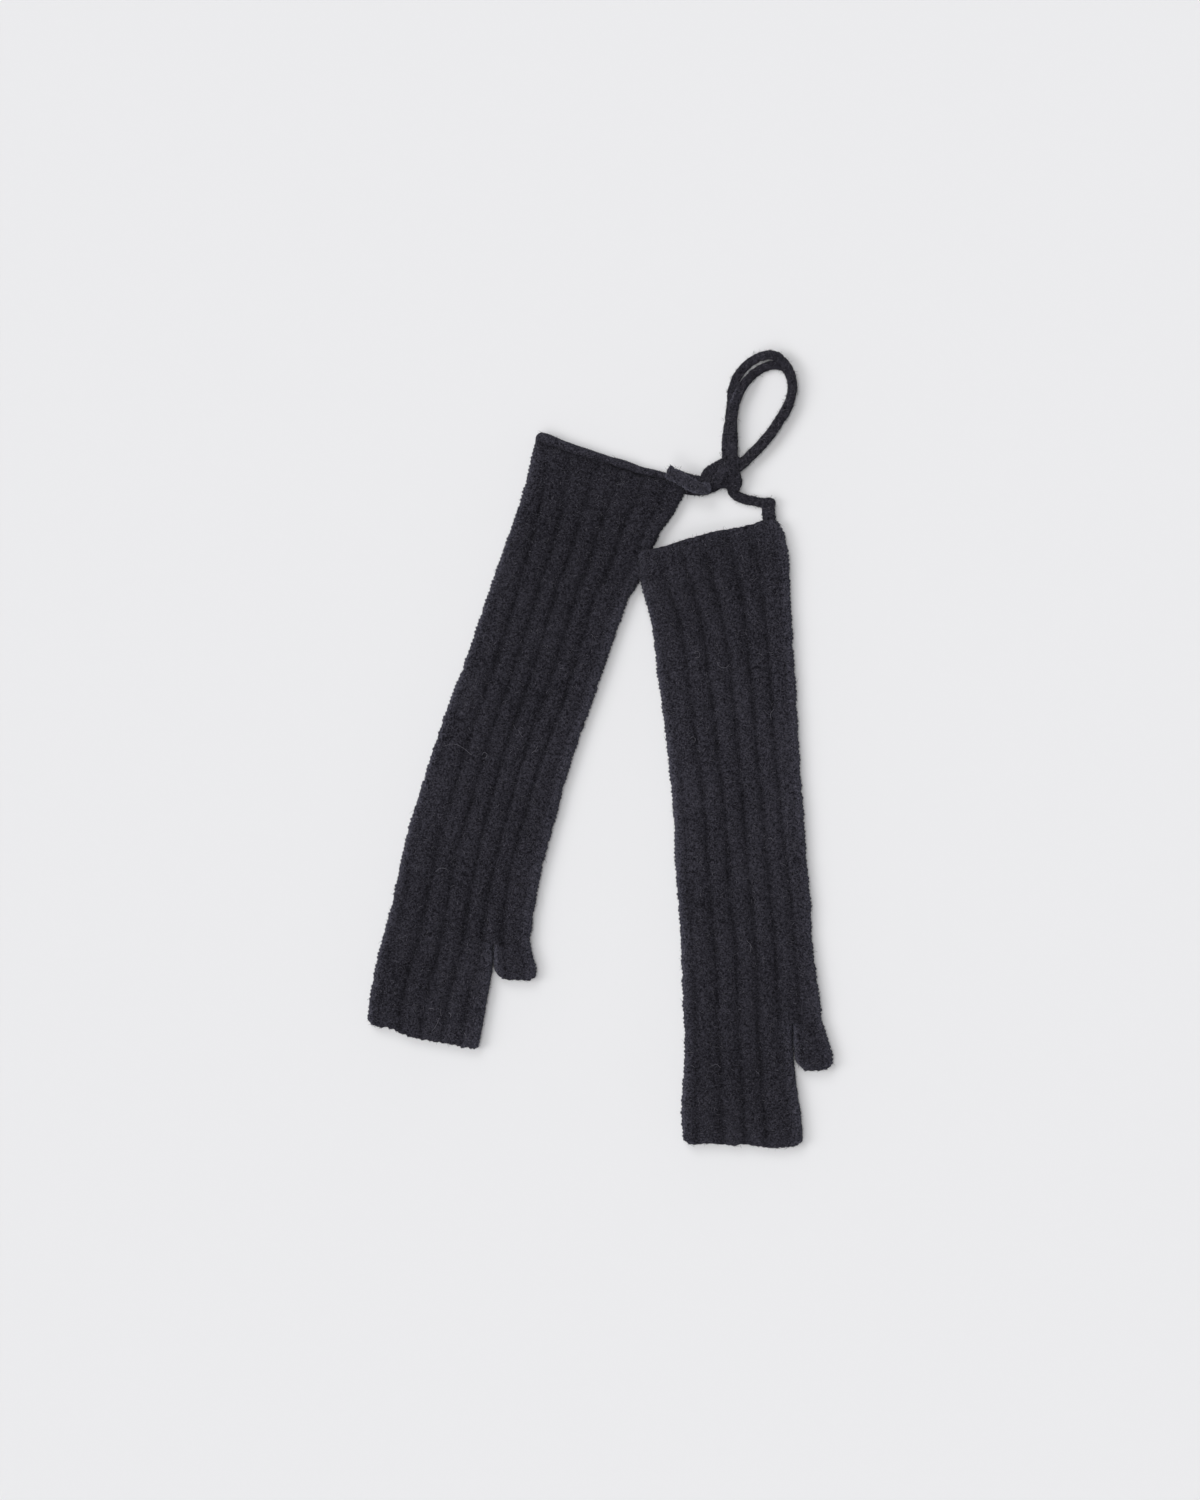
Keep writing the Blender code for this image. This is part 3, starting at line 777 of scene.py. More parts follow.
def countGrooves(mitten, armShare, share):
    # how many grooves lie to the left of each place
    table = np.array(mitten["grooves"])
    grooves = np.stack([np.interp(armShare, table[:, 0], column) for column in table[:, 1:].T], axis=1)
    gap = cloth["ribEnds"]
    edges = np.concatenate([grooves[:, :1] - gap, grooves, grooves[:, -1:] + gap], axis=1)
    count = np.zeros(len(share))
    for start, end in zip(edges.T, edges.T[1:]):
        count += np.clip((share - start) / (end - start), 0.0, 1.0)
    return count


def shapeRibs(mitten, at):
    # the hand and the thumb carry on the arm's ribs
    ribShare = at.u / at.width
    thumbShare = at.handShare + ribShare * (1 - at.handShare)
    ribShare = byPart(at, ribShare, ribShare * at.handShare, thumbShare)
    at.count = countGrooves(mitten, at.along / at.arm.length, ribShare)
    plain = mitten["plainTop"]
    fade = plain + (1 - plain) * smoothStep(at.along / mitten["plainLength"])
    start, ease, least = cloth["sideFade"]
    fade = fade * (least + (1 - least) * smoothStep((at.fromSide - start) / ease))
    ribPlace = (np.round(at.count) * 40, at.along)  # far enough apart for each rib to have its own
    depth = fade * (cloth["ribDepth"] + clothLump(mitten, "ribDepth", *ribPlace))
    at.rib = 1 - (1 - np.abs(np.sin(math.pi * (at.count - 1))) ** cloth["ribPower"]) * depth
    toGroove = np.abs(at.count - np.round(at.count))
    spread = cloth["grooveWidth"] * (1 + clothLump(mitten, "grooveWidth", *ribPlace))
    # the grooves are darker, partly the felt's own colour and partly painted shade
    broken = fade * (cloth["grooveDark"] + clothLump(mitten, "grooves", *ribPlace))
    at.groove = 1 - np.exp(-((toGroove / spread) ** 2)) * np.clip(broken, 0.08, 1.2)


def layerHeights(mitten, at):
    # how high the front and the back layer lie
    uneven = clothLump(mitten, "swells", at.u, at.along)
    lump = clothLump(mitten, "lumps", at.u, at.along, 9.0)
    leg = np.abs((at.count % 1) - 0.5)
    stitch = cloth["stitchHeight"] * np.sin(2 * math.pi * (at.along / cloth["stitchRow"] + leg))
    topOutside = cloth["grooveTop"] + cloth["ribHeight"] * at.rib + uneven + lump + stitch
    topInside = cloth["wall"] + cloth["hollow"]
    gape, reach = cloth["mouth"]
    mouth = gape * np.exp(-at.fromEnd / reach) * 4 * at.acrossShare * (1 - at.acrossShare)
    top = topInside + at.wrap * (topOutside - topInside) + mouth
    backOutside = cloth["underRib"] * (1 - at.rib)
    return top, cloth["wall"] + at.wrap * (backOutside - cloth["wall"])


def edgeReach(mitten, at):
    # how far past its section each point lies, where the openings are bumpy and bowed
    size, length = cloth["edgeWave"]
    bumps = clothLump(mitten, "edges", at.u) + clothLump(mitten, "fineEdges", at.u)
    bumps += size * np.sin(2 * math.pi * at.u / length + 3 * bumps)
    bumpSize = byPart(at, *mitten["edgeBumps"])
    over = np.sin(math.pi * at.skin)
    reach = cloth["edgeRound"] * over + bumpSize * bumps * np.exp(-at.fromEnd / cloth["edgeReach"])
    armBow = np.interp(at.acrossShare, *np.transpose(mitten["armEdge"]))
    fingerBow = np.interp(at.acrossShare, *np.transpose(mitten["fingerEdge"]))
    bow = byPart(at, armBow, fingerBow, cloth["thumbBow"] * np.sin(math.pi * at.acrossShare))
    return reach + bow * np.exp(-at.fromEnd / cloth["bowReach"])


def rollArmEdge(mitten, at, top, low, front):
    # the back layer's edge rolls over towards the front, whose own edge touches the roll
    shares, middles, radii = np.transpose(mitten["roll"])
    middle = np.interp(at.acrossShare, shares, middles)
    size = np.interp(at.acrossShare, shares, radii)
    size = size * (1 + clothLump(mitten, "roll", at.u + 5, 5.0, 5.0))
    at.turn = math.radians(armRoll["start"]) - math.radians(armRoll["sweep"]) * at.skin
    at.onRim = at.onArm & (at.armShare < 1e-9)
    back = np.where(at.onRim, middle + size * np.cos(at.turn), front)
    low = np.where(at.onRim, size + size * np.sin(at.turn), low)
    start, easeIn, end, easeOut = armRoll["loose"]
    loose = smoothStep((at.acrossShare - start) / easeIn) * smoothStep((end - at.acrossShare) / easeOut)
    touch = middle - armRoll["tuck"] * size - armRoll["gap"] - armRoll["looseGap"] * loose
    front = front + touch * np.exp(-at.fromEnd / armRoll["touchReach"]) * at.onArm
    depth, reach = armRoll["press"]
    top = top - depth * np.exp(-at.fromEnd / reach) * at.onArm * at.wrap
    at.blend = np.where(at.onRim, smoothStep((at.frontShare - 0.5) / 0.5), at.frontShare)

    # the roll's left end is round and stands out past the side
    past = np.clip(back - middle, -size, size)
    roundEnd = size - np.sqrt(np.clip(size**2 - past**2, 0, None)) - mitten["rollOver"]
    at.shift = np.where(at.onRim, roundEnd * (1 - at.blend) * np.exp(-((at.u / size) ** 2)), 0.0)
    pull, down, across = armRoll["pull"]
    pull = pull * at.onArm * (1 - at.onRim) * np.exp(-at.fromEnd / down)
    at.shift = at.shift + pull * np.exp(-((at.u / across) ** 2))
    return top, low, front, back


def shapeSides(mitten, at):
    # small scallops at the stitch rows along the sides, and rounded corners at the openings
    size, level = cloth["scallop"]
    scallop = size * (np.abs(np.sin(math.pi * at.along / cloth["stitchRow"])) ** 0.8 - level)
    rough = clothLump(mitten, "sides", at.along, 40 * at.onRight, 3.0)
    fineRough = clothLump(mitten, "fineSides", at.along, 40 * at.onRight, 8.0)
    scallop = scallop * (0.8 + 0.8 * rough) + 0.55 * rough + fineRough
    scallop = np.where(at.isNew, cloth["slitScallop"] * scallop, scallop)
    sign = np.where(at.onRight, 1.0, -1.0)
    onSide = (at.zone == 0) | (at.zone == 2) | at.isNew
    u = at.u + sign * (np.where(onSide, at.outward, 0.0) * at.wrap) * scallop + at.shift

    corner = byPart(at, *[np.where(at.onRight, right, left) for left, right in mitten["corners"]])
    toEnd = np.clip(corner - at.fromEnd, 0.0, None)
    pulled = corner - np.sqrt(np.clip(corner**2 - toEnd**2, 0.0, None))
    toMiddle = 2 * np.abs(u / at.width - 0.5)
    return u - sign * pulled * 0.9 * toMiddle**4


def shadeCloth(mitten, at):
    # how much of its colour the wool keeps, with painted shade in the grooves and on the hollow's inner
    # faces, and how much painted sheen lies on its edges
    # painted shade on the inner faces of the tube
    inHollow = np.where(at.angle > 0, 0.35, 0.6)
    shade = np.clip(at.groove, 0, 1) * at.wrap + inHollow * (1 - at.wrap)
    # painted sheen on the sides and at the openings, where they catch the light
    (leftFrom, rightFrom), (leftWear, rightWear) = mitten["sheenFrom"], paintedEdgeSheen["sides"]
    down = smoothStep((at.along - np.where(at.onRight, rightFrom, leftFrom)) / paintedEdgeSheen["ease"] + 0.5)
    sideSheen = np.where(at.onRight, rightWear, leftWear) * (paintedEdgeSheen["least"] + (1 - paintedEdgeSheen["least"]) * down)
    endSheen = np.where(at.onArm, paintedEdgeSheen["armEdge"], paintedEdgeSheen["handEdge"])
    pale = sideSheen * np.exp(-at.fromSide / paintedEdgeSheen["sideReach"])
    pale = pale + endSheen * np.exp(-at.fromEnd / paintedEdgeSheen["edgeReach"])
    lightness = np.interp(at.along, *np.transpose(mitten["toneDown"]))
    lightness = lightness * np.interp(at.acrossShare, *np.transpose(mitten["toneAcross"]))
    if mitten["roll"]:
        # painted shade in the crease between the front layer's edge and the roll, and a painted highlight on
        # the roll, which faces up
        onRoll = at.onRim & (at.skin > 0.08) & (at.blend < 0.7)
        creaseEnd, creaseEase = armRoll["crease"]
        crease = smoothStep((math.radians(creaseEnd) - at.turn) / math.radians(creaseEase))
        least = armRoll["creaseShade"]
        shade = np.where(onRoll, least + (1 - least) * crease, shade)
        pale = np.where(onRoll, mitten["rollPale"] * crease, pale)
        # painted shade along the front layer's edge, at the crease
        frontEdge = at.onArm & ~onRoll & (at.angle > 0)
        dark, reach = armRoll["edgeShade"]
        shade = np.where(frontEdge, shade * (1 - dark * np.exp(-at.fromEnd / reach)), shade)
        pale = np.where(frontEdge, pale * (1 - np.exp(-at.fromEnd / armRoll["edgePale"])), pale)
        lightness = np.where(onRoll, mitten["rollLight"], lightness)
    keep = cloth["grooveShade"]
    return (keep + (1 - keep) * shade) * lightness, pale * at.wrap


def mapCloth(mitten, at):
    # places every point on the mitten, in millimetres, with its tone, its stitch and its paleness
    placeSections(mitten, at)
    placeAcross(at)
    shapeRibs(mitten, at)
    top, low = layerHeights(mitten, at)
    front = back = edgeReach(mitten, at)
    at.blend = at.frontShare
    at.shift = 0.0
    if mitten["roll"]:
        top, low, front, back = rollArmEdge(mitten, at, top, low, front)
    z = low + (top - low) * at.blend
    reach = (back + (front - back) * at.blend) * np.where(at.onArm, 1.0, -1.0)
    u = shapeSides(mitten, at)
    places = at.left + at.across * u[:, None] + at.upArm * reach[:, None]
    lift = mitten["lift"]
    if lift:
        away = np.linalg.norm(places - np.array(lift["at"]), axis=1) - lift["flat"]
        z = z + lift["height"] * (1 - smoothStep(away / lift["ease"]))
    toneAndShade, pale = shadeCloth(mitten, at)
    knit = np.column_stack([at.count, at.along / cloth["stitchRow"], at.frontShare])
    return np.column_stack([places, z]), toneAndShade, knit, pale


def makeMitten(mitten, material):
    rows, crotchRow = rowPlan(mitten)
    bm, sideMark, crotch = layOutCloth(len(rows), crotchRow)
    flat = np.array([(v.co.x, v.co.y) for v in bm.verts])
    marks = np.array([v[sideMark] for v in bm.verts])
    isNew = np.array([isSlitPoint(v, crotch) for v in bm.verts])
    values = mapCloth(mitten, readLayout(rows, flat, marks, isNew, crotch))
    placePoints(bm.verts, newLayers(bm), *values)
    ends = [v for v in bm.verts if v.is_boundary]
    bmesh.ops.remove_doubles(bm, verts=ends, dist=0.01 * mm)
    return finishPiece(bm, mitten["name"], material)


print("left mitten")
leftCloth = makeMitten(leftMitten, ribWoolMaterial)
print("right mitten")
rightCloth = makeMitten(rightMitten, ribWoolMaterial)
for clothPiece, side in ((leftCloth, "left"), (rightCloth, "right")):
    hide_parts(side + "_mitten", side + "_mitten_thumb")
    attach(clothPiece, "root")

# The straps and the knot that they make, in millimetres and in shares of half a strap's width.
straps = {
    "width": 7.4,
    "thickness": 4.2,
    "arcWidth": 6.7,  # round the top of the loop, where the floor shows between the strands
    "tailWidth": 10.4,
    "tailThickness": 2.8,
    "low": 2.4,  # heights of the lower and the upper strand of the loop
    "high": 7.0,
    "ringPitch": 0.6,
    "roundPoints": 36,
    "square": 0.72,  # 1 is an ellipse, less is squarer
    "turnWindow": 9,  # rings over which the band's turning is evened out
    "stitch": 2.7,
    "bumps": 0.14,
    "bumpSizes": (2.4, 9.0),
    "stitchBumps": 0.04,
    "stitchBow": 0.3,
    "dip": (0.10, 0.28),  # depth and width of the hollow down the middle
    "curl": (4.5, 0.6),  # length of a curled corner, and how high it rises for its reach
    # painted sheen: how soon it fades from the tip, and the share spread evenly over the band
    "tipSheen": 1.4,
    "evenSheen": 0.12,
}
low, high = straps["low"], straps["high"]
strapWidth, strapThickness = straps["width"], straps["thickness"]
tailWidth, tailThickness = straps["tailWidth"], straps["tailThickness"]


def strapRoute(points, width=strapWidth, thickness=strapThickness):
    return [(*point, width, thickness) for point in points]


# The left mitten's strap: over to the knot, once round the loop and back into the knot.
leftStrapRoute = strapRoute((
    (61.5, 226.4, 3.6), (65.6, 225.6, 2.9), (70.5, 224.8, 2.6), (75.0, 224.6, 2.6), (79.0, 225.2, 2.7),
    (83.2, 226.8, 3.0), (88.4, 229.2, 3.6), (92.4, 234.0, 4.2), (94.8, 241.0, 3.2), (95.8, 248.0, low),
    (95.9, 262.0, low), (97.9, 277.0, low), (99.4, 290.0, low), (100.2, 300.0, low),
))
leftStrapRoute += strapRoute((
    (103.7, 310.1, low), (109.7, 317.7, low), (116.6, 322.9, low + 0.8), (124.6, 325.8, high - 0.6),
    (132.0, 325.1, high), (138.2, 320.2, high), (142.6, 313.4, high), (144.6, 305.6, high),
    (144.8, 299.0, high), (143.4, 292.6, high),
), straps["arcWidth"])
leftStrapRoute += strapRoute((
    (140.6, 286.0, high), (135.6, 277.6, high), (129.2, 267.8, high),
    (122.4, 259.6, high), (115.4, 252.4, high), (110.2, 246.9, high), (104.6, 242.0, 6.8),
    (98.5, 237.5, 6.0),
))
# The right mitten's strap: a wide end, then over to the knot, round the loop, through the knot and out.
rightEndRoute = strapRoute((
    (127.9, 196.5, 3.9), (127.6, 203.0, 3.9), (127.0, 210.0, 4.4), (126.9, 219.5, 5.6),
), 10.0)
rightStrapRoute = strapRoute((
    (127.0, 215.2, 2.6), (120.8, 215.8, 2.5), (114.8, 217.1, 2.5), (108.8, 218.5, 2.6), (103.7, 220.6, 2.7),
    (99.9, 224.2, 3.1), (98.6, 229.6, 4.2), (98.6, 236.6, 5.6), (99.4, 242.6, 6.7), (99.9, 248.0, high),
    (100.0, 262.0, high), (99.7, 277.0, high), (101.5, 289.0, high), (105.4, 298.8, high),
))
rightStrapRoute += strapRoute((
    (110.5, 306.4, high - 0.5), (117.7, 313.6, low), (125.8, 317.8, low), (132.6, 318.9, low),
    (138.6, 317.4, low), (142.4, 313.0, low), (144.4, 306.4, low), (144.6, 300.6, low), (143.4, 294.0, low),
), straps["arcWidth"])
rightStrapRoute += strapRoute((
    (140.8, 286.6, low), (135.6, 278.0, low), (129.0, 268.1, low), (121.8, 259.8, low), (114.2, 252.2, low),
    (107.2, 245.4, low), (101.6, 241.2, 3.0),
    (95.0, 236.5, 3.8), (89.5, 233.2, 5.0), (84.5, 231.8, 7.0), (80.0, 231.4, 8.6), (75.0, 231.6, 9.3),
    (70.0, 232.3, 9.4), (64.0, 234.0, 9.4), (58.5, 236.3, 9.4), (54.5, 238.2, 9.6),
))
# The tail doubles back over itself towards the knot.
tailRoute = strapRoute((
    (50.6, 238.0, 11.4), (54.6, 236.1, 11.6), (60.0, 233.6, 11.7), (65.0, 231.0, 11.7), (70.0, 228.0, 11.6),
), tailWidth, tailThickness)
tailRoute += strapRoute(((75.0, 226.2, 11.5), (79.2, 225.9, 11.4), (84.0, 226.6, 11.2)), 9.2, tailThickness)
# Turns of the knot, from the left lobe round to the right.
knotTurns = (
    strapRoute(((95.6, 245.3, 5.0), (90.4, 242.6, 6.6), (85.2, 239.8, 7.4), (80.9, 236.4, 7.3),
                (80.2, 231.8, 6.3), (83.0, 228.4, 4.2), (88.0, 229.2, 3.2)), 9.0, 5.0),
    strapRoute(((89.0, 241.0, 7.0), (94.0, 240.8, 8.3), (99.5, 238.2, 9.0), (102.6, 233.8, 8.4),
                (102.7, 228.9, 6.6), (99.6, 225.2, 4.0)), 8.2, 5.0),
    strapRoute(((106.5, 246.5, 5.6), (101.5, 244.6, 8.4), (96.0, 241.0, 9.8), (91.4, 235.6, 9.7),
                (88.2, 230.4, 7.8), (88.0, 227.2, 4.6)), 8.6, 4.8),
)
knotCore = {"centre": (92.2, 235.6, 5.4), "radii": (13.4, 9.6, 4.6), "seed": 5}


def sweepStrap(bm, layers, route, seed, curl=0.0, pale=0.0, dish=0.0, ends=(2.2, 2.2), paleEdge=None):
    # a knitted band along its route; its flat side keeps facing up
    rings = smoothCurve(route, straps["ringPitch"])
    centres, width, thickness = rings[:, :3], rings[:, 3], rings[:, 4]
    ringPlace = distances(centres)
    tangent = unit(np.gradient(centres, axis=0))
    side = np.cross(tangent, (0.0, 0.0, 1.0))
    window = np.hanning(straps["turnWindow"])
    reach = len(window) // 2
    padded = np.pad(side, ((reach, reach), (0, 0)), mode="edge")
    side = np.stack([np.convolve(column, window / window.sum(), "valid") for column in padded.T], axis=1)
    side = unit(side - tangent * (side * tangent).sum(1, keepdims=True))
    up = np.cross(side, tangent)

    around = straps["roundPoints"]
    last = len(rings) - 1
    made = bmesh.ops.create_grid(bm, x_segments=around, y_segments=last, size=0.5)["verts"]
    places = {(round((v.co.x + 0.5) * around), round((v.co.y + 0.5) * last)): v for v in made}
    bmesh.ops.weld_verts(bm, targetmap={places[around, j]: places[0, j] for j in range(last + 1)})
    places = {place: vert for place, vert in places.items() if place[0] < around}
    i, j = np.array(list(places)).T
    along = ringPlace[j]
    turn = 2 * math.pi * i / around
    x, z = [np.sign(c) * np.abs(c) ** straps["square"] for c in (np.cos(turn), np.sin(turn))]
    closing = 1.0
    for fromEnd, endRound in zip((along, ringPlace[-1] - along), ends):
        closing = closing * np.sqrt(1 - (1 - np.clip(fromEnd / endRound, 0, 1)) ** 2)
    small, large = straps["bumpSizes"]
    bump = unevenness(x * 3, z * 2, along, small, seed)
    bump += 0.5 * unevenness(x * 3, z * 2, along, large, seed + 1)
    rows = np.sin(2 * math.pi * (along / straps["stitch"] + straps["stitchBow"] * np.abs(x)))
    growth = 1 + (straps["bumps"] * bump + straps["stitchBumps"] * rows)
    depth, dipWidth = straps["dip"]
    dip = np.where(z > 0, depth * np.exp(-((x / dipWidth) ** 2)), 0.0)
    across = x * growth * closing * width[j] / 2
    rise = z * (growth - dip) * closing * thickness[j] / 2
    points = centres[j] + side[j] * across[:, None] + up[j] * rise[:, None]
    points[:, 2] += dish * np.abs(x) ** 4 * closing  # both edges stand up a little
    if curl:
        # the upper corner at the start curls up into a small point
        length, lift = straps["curl"]
        lifted = np.clip(1 - along / length, 0, 1) * np.clip(-x, 0, 1) ** 2.5
        points[:, 2] += lift * curl * lifted
        points[:, 1] += curl * lifted
    # painted sheen along the band's edges and at its far tip
    rimmed = np.maximum(np.abs(x) ** 6, np.exp(-(ringPlace[-1] - along) / straps["tipSheen"]))
    evenly = straps["evenSheen"]
    paleness = pale * (evenly + (1 - evenly) * rimmed)
    if paleEdge:
        # a painted highlight on one edge of the band round a place
        away = np.linalg.norm(points[:, :2] - np.array(paleEdge[:2]), axis=1) / paleEdge[2]
        paleness = paleness + np.exp(-(away**2)) * np.clip(-x * 3 - 1.6, 0, 1)
    toneAndShade = np.clip(0.6 + (growth - 0.82) * 1.28, 0.7, 1.0)  # painted shade: the hollows are darker
    knit = np.column_stack([x, along / straps["stitch"], np.zeros(len(x))])
    placePoints(places.values(), layers, points, toneAndShade, knit, paleness)
    endVerts = [vert for (_, ring), vert in places.items() if ring in (0, last)]
    bmesh.ops.remove_doubles(bm, verts=endVerts, dist=0.001 * mm)
    return centres * mm


def makeStrap(name, bands):
    # one mesh from its bands, each a route, a seed and its finish; the path runs through them all
    bm = bmesh.new()
    layers = newLayers(bm)
    paths = [sweepStrap(bm, layers, route, seed, **finish) for route, seed, finish in bands]
    return finishPiece(bm, name, strapWoolMaterial), np.vstack(paths)[::3]


def makeKnot():
    # turns of strap laid over a lumpy core
    bm = bmesh.new()
    layers = newLayers(bm)
    core = bmesh.ops.create_icosphere(bm, subdivisions=5, radius=1.0)["verts"]
    directions = np.array([v.co for v in core])
    lumps = 1 + 0.10 * unevenness(*directions.T, 0.35, knotCore["seed"])
    lumps = lumps + 0.03 * unevenness(*directions.T, 0.10, 1)
    points = np.array(knotCore["centre"]) + directions * np.array(knotCore["radii"]) * lumps[:, None]
    # painted shade: the core's low places are darker
    placePoints(core, layers, points, np.clip(0.6 + lumps - 0.8, 0.64, 0.96))
    for seed, turn in enumerate(knotTurns):
        sweepStrap(bm, layers, turn, 20 + seed)
    return finishPiece(bm, "strapKnotWraps", strapWoolMaterial)


print("straps and knot")
knot = makeKnot()
leftStrap, leftPath = makeStrap("leftMittenStrap", [(leftStrapRoute, 41, {})])
rightStrap, rightPath = makeStrap("rightMittenStrap", [
    # pale is painted sheen on a band's edges and tip, and paleEdge a painted highlight
    (rightEndRoute, 43, {"pale": 0.15, "ends": (2.2, 4.0)}),
    (rightStrapRoute, 47, {"paleEdge": (100.0, 294.0, 6.0)}),
    (tailRoute, 51, {"pale": 1.9, "curl": 1.3, "dish": 0.7, "ends": (1.2, 4.2)}),
])
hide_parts("strap_knot")
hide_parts("left_strap", "loop_outer_strand")
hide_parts("right_strap", "loop_inner_strand", "strap_tail")
for strapPiece in (knot, leftStrap, rightStrap):
    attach(strapPiece, "root")

# Loose fibres on the felted wool, in millimetres.
fuzz = {
    "seed": 17,
    "lyingEach": 13000,  # light fibres that lie on each mitten
    "lyingLength": (1.4, 5.0),
    "lyingRadius": (0.06, 0.12),
    "lyingRise": (0.0, 0.16),
    "lyingBend": 0.45,
    "lyingDroop": 0.10,
    "lyingSink": 0.02,
    "lyingLeast": 1.5,  # height below which none lie
    "lyingShade": 2.2,  # more makes fewer of them light
    "edgeEach": 4000,  # short ones that stand off the edges
    "edgeLength": (0.3, 1.3),
    "edgeRadius": (0.05, 0.09),
    "edgeSpread": 0.8,
    "edgeBend": 0.35,
    "edgeLeast": 0.8,
    "hairRadius": 0.15,
    "hairHeight": 0.22,
    "strapLying": 1500,
    "strapEdge": 1500,
    "floorGap": 0.05,
    "finish": {"Roughness": 0.8, "Specular IOR Level": 0.3},
    "pale": ((0.026, 0.025, 0.031), (0.145, 0.141, 0.167)),  # the darkest and the lightest of each kind
    "dark": ((0.014, 0.0135, 0.0165), (0.070, 0.068, 0.082)),
}
rng = np.random.default_rng(fuzz["seed"])


def fibreMaterial(name, dark, light):
    material, tree, shader = newMaterial(name)
    link(tree, colourMix(tree, attributeNode(tree, "shade"), dark, light), shader.inputs["Base Color"])
    setInputs(shader, fuzz["finish"])
    return material


def surfaceSamples(obj, count, weigh):
    # random places on an object's surface, with their normals
    mesh = obj.data
    mesh.calc_loop_triangles()
    points = np.empty(len(mesh.vertices) * 3, np.float32)
    mesh.vertices.foreach_get("co", points)
    corners = np.empty(len(mesh.loop_triangles) * 3, np.int32)
    mesh.loop_triangles.foreach_get("vertices", corners)
    a, b, c = points.reshape(-1, 3)[corners.reshape(-1, 3)].astype(float).transpose(1, 0, 2)
    normal = np.cross(b - a, c - a)
    area = np.linalg.norm(normal, axis=1) / 2
    normal = unit(normal)
    weight = area * weigh(normal, (a + b + c) / 3)
    picked = rng.choice(len(area), count, p=weight / weight.sum())
    u, v = rng.random((2, count))
    u, v = np.where(u + v > 1, 1 - u, u), np.where(u + v > 1, 1 - v, v)
    places = a[picked] + (b - a)[picked] * u[:, None] + (c - a)[picked] * v[:, None]
    return places, normal[picked]


def growFibres(name, places, direction, bend, length, radius, shade, material):
    # each fibre is a thin bent strand of three sides with pointed ends
    count = len(places)
    steps = np.array([0.0, 0.36, 0.70, 1.0])
    spine = places[:, None] + length[:, None, None] * (
        direction[:, None] * steps[None, :, None] + bend[:, None] * (steps**2)[None, :, None]
    )
    heading = unit(spine[:, -1] - spine[:, 0])
    sideways = unit(np.cross(heading, unit(rng.normal(size=(count, 3)))))
    across = np.cross(heading, sideways)
    rings = []
    for k in (1, 2):
        for turn in (0.0, 2 * math.pi / 3, 4 * math.pi / 3):
            offset = sideways * math.cos(turn) + across * math.sin(turn)
            rings.append(spine[:, k] + offset * radius[:, None])
    points = np.stack([spine[:, 0], *rings, spine[:, 3]], axis=1).reshape(-1, 3)
    points[:, 2] = np.maximum(points[:, 2], fuzz["floorGap"] * mm)
    pattern = [(0, 2, 1), (0, 3, 2), (0, 1, 3), (7, 4, 5), (7, 5, 6), (7, 6, 4)]
    for k in (1, 2, 3):
        after = k % 3 + 1
        pattern += [(k, after, after + 3), (k, after + 3, k + 3)]
    faces = (np.arange(count) * 8)[:, None, None] + np.array(pattern)[None]
    mesh = bpy.data.meshes.new(name)
    mesh.from_pydata(points.tolist(), [], faces.reshape(-1, 3).tolist())
    layer = mesh.attributes.new("shade", "FLOAT", "POINT")
    layer.data.foreach_set("value", np.repeat(shade, 8).astype(np.float32))
    mesh.shade_smooth()
    mesh.materials.append(material)
    obj = addObject(name, mesh)
    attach(obj, "root")


def between(limits, count, power=1.0):
    return limits[0] + (limits[1] - limits[0]) * rng.random(count) ** power


def lyingFibres(name, target, count):
    def onTop(normal, middle):
        return np.clip(normal[:, 2], 0, 1) ** 0.5 * (middle[:, 2] > fuzz["lyingLeast"] * mm)

    places, normal = surfaceSamples(target, count, onTop)
    flat = np.cross(normal, unit(rng.normal(size=(count, 3))))
    heading = unit(flat + normal * between(fuzz["lyingRise"], count)[:, None])
    sideways = rng.normal(scale=fuzz["lyingBend"], size=(count, 1))
    bend = np.cross(normal, heading) * sideways - normal * fuzz["lyingDroop"]
    length = between(fuzz["lyingLength"], count, 1.6) * mm
    radius = between(fuzz["lyingRadius"], count) * mm
    places = places - normal * fuzz["lyingSink"] * mm
    shade = rng.random(count) ** fuzz["lyingShade"]
    growFibres(name, places, heading, bend, length, radius, shade, paleFibre)


def edgeFibres(name, target, count):
    def onSides(normal, middle):
        return (np.abs(normal[:, 2]) < 0.8) * (middle[:, 2] > fuzz["edgeLeast"] * mm)

    places, normal = surfaceSamples(target, count, onSides)
    heading = unit(normal + fuzz["edgeSpread"] * rng.normal(size=(count, 3)))
    heading = unit(heading - normal * np.minimum((heading * normal).sum(1, keepdims=True) - 0.25, 0.0))
    heading[:, 2] = np.abs(heading[:, 2]) * 0.7
    bend = rng.normal(scale=fuzz["edgeBend"], size=(count, 3))
    bend[:, 2] = np.abs(bend[:, 2]) * 0.4
    length = between(fuzz["edgeLength"], count, 2.0) * mm
    radius = between(fuzz["edgeRadius"], count) * mm
    shade = rng.random(count) ** 2.0 * 0.5
    growFibres(name, places, heading, bend, length, radius, shade, darkFibre)


# Long pale hairs on the cloth, each a route across it in millimetres.
leftHairs = (
    ((-115.5, 33.4), (-110.5, 34.9), (-105.0, 33.9), (-99.5, 30.4), (-95.3, 26.6)),
    ((-60.0, 45.4), (-58.9, 42.4), (-57.0, 40.1)),
    ((-45.8, 33.4), (-47.4, 30.4), (-50.3, 28.1)),
    ((-87.5, 26.6), (-86.0, 28.7), (-83.8, 27.4), (-84.4, 24.8), (-86.4, 24.2)),
    ((-119.3, -169.9), (-121.6, -175.4), (-124.7, -179.6)),
    ((-127.5, -163.4), (-125.4, -162.6), (-123.3, -163.3)),
    ((-118.1, -163.1), (-118.4, -165.8), (-117.9, -168.4)),
    ((-100.8, -181.1), (-99.6, -182.7), (-99.2, -184.9)),
    ((-112.4, -166.1), (-110.6, -167.4), (-111.4, -169.6)),
    ((-122.0, -60.5), (-118.4, -57.8), (-113.6, -58.6)),
)
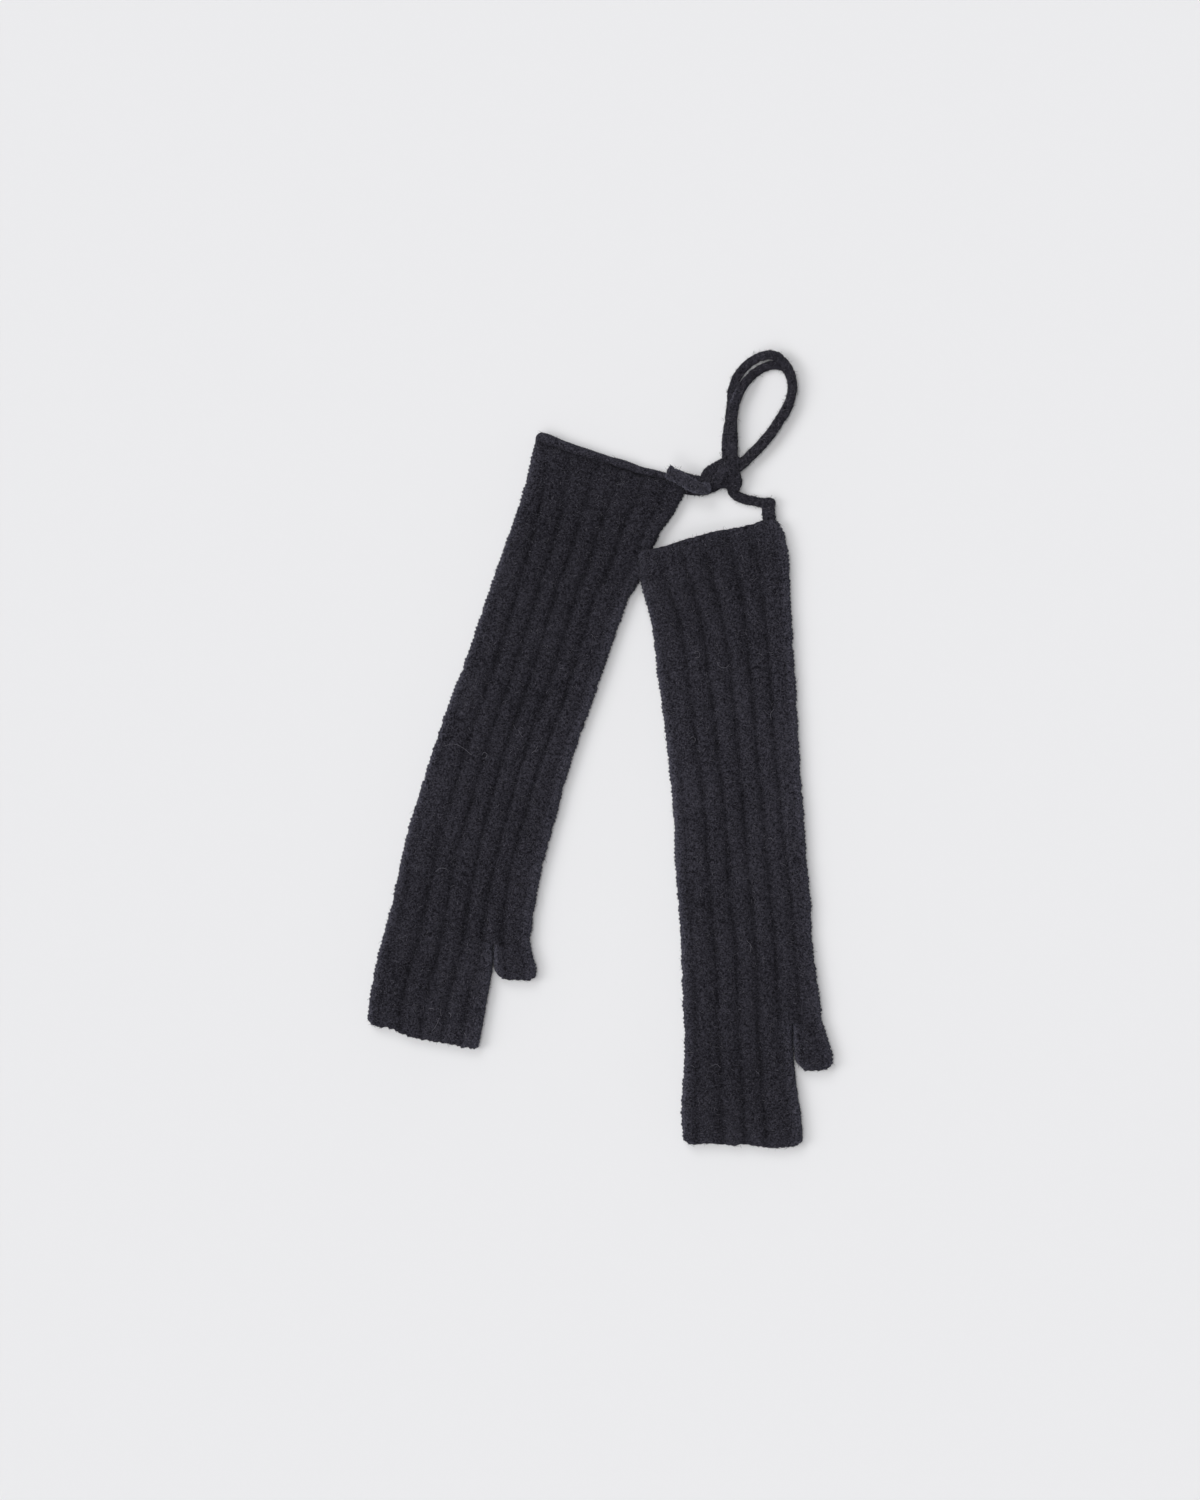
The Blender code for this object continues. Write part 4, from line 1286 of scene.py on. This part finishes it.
rightHairs = (
    ((68.5, 39.5), (70.6, 40.3), (72.1, 38.2), (71.0, 36.0)),
    ((71.4, 103.0), (73.4, 104.4), (75.4, 102.2), (74.6, 99.6), (72.2, 99.6)),
    ((126.5, -36.0), (128.5, -35.3), (130.2, -37.6)),
    ((88.0, 96.5), (90.6, 92.6), (94.8, 92.0), (97.6, 94.6)),
    ((110.5, -112.0), (113.6, -115.8), (113.0, -120.6)),
    ((83.5, -206.0), (87.8, -204.6), (91.0, -207.4)),
    ((131.0, 61.0), (128.2, 57.4), (128.8, 53.4)),
)


def layHairs(name, target, routes):
    # each hair is dropped on the cloth and made of short overlapping strands
    starts, ends = [], []
    for route in routes:
        line = smoothCurve([(x, y, 0.0) for x, y in route], 1.0)
        dropped = []
        for x, y, _ in line * mm:
            _, place, _, _ = target.ray_cast((x, y, 0.05), (0.0, 0.0, -1.0))
            dropped.append((x, y, place.z + fuzz["hairHeight"] * mm))
        starts += dropped[:-1]
        ends += dropped[1:]
    starts, ends = np.array(starts), np.array(ends)
    run = np.linalg.norm(ends - starts, axis=1)
    heading = unit(ends - starts)
    radius = np.full(len(starts), fuzz["hairRadius"] * mm)
    places = starts - heading * run[:, None] * 0.5
    growFibres(name, places, heading, 0 * heading, 2.0 * run, radius, np.ones(len(starts)), paleFibre)


print("loose fibres")
paleFibre = fibreMaterial("paleWoolFibre", *fuzz["pale"])
darkFibre = fibreMaterial("darkWoolFibre", *fuzz["dark"])
for clothPiece, side in ((leftCloth, "left"), (rightCloth, "right")):
    lyingFibres(side + "MittenLyingFibres", clothPiece, fuzz["lyingEach"])
    edgeFibres(side + "MittenEdgeFibres", clothPiece, fuzz["edgeEach"])
bpy.context.view_layer.update()
layHairs("leftMittenLongHairs", leftCloth, leftHairs)
layHairs("rightMittenLongHairs", rightCloth, rightHairs)
for strapPiece, share in ((knot, 0.3), (leftStrap, 0.8), (rightStrap, 1.0)):
    lyingFibres(strapPiece.name + "LyingFibres", strapPiece, round(fuzz["strapLying"] * share))
    edgeFibres(strapPiece.name + "EdgeFibres", strapPiece, round(fuzz["strapEdge"] * share))
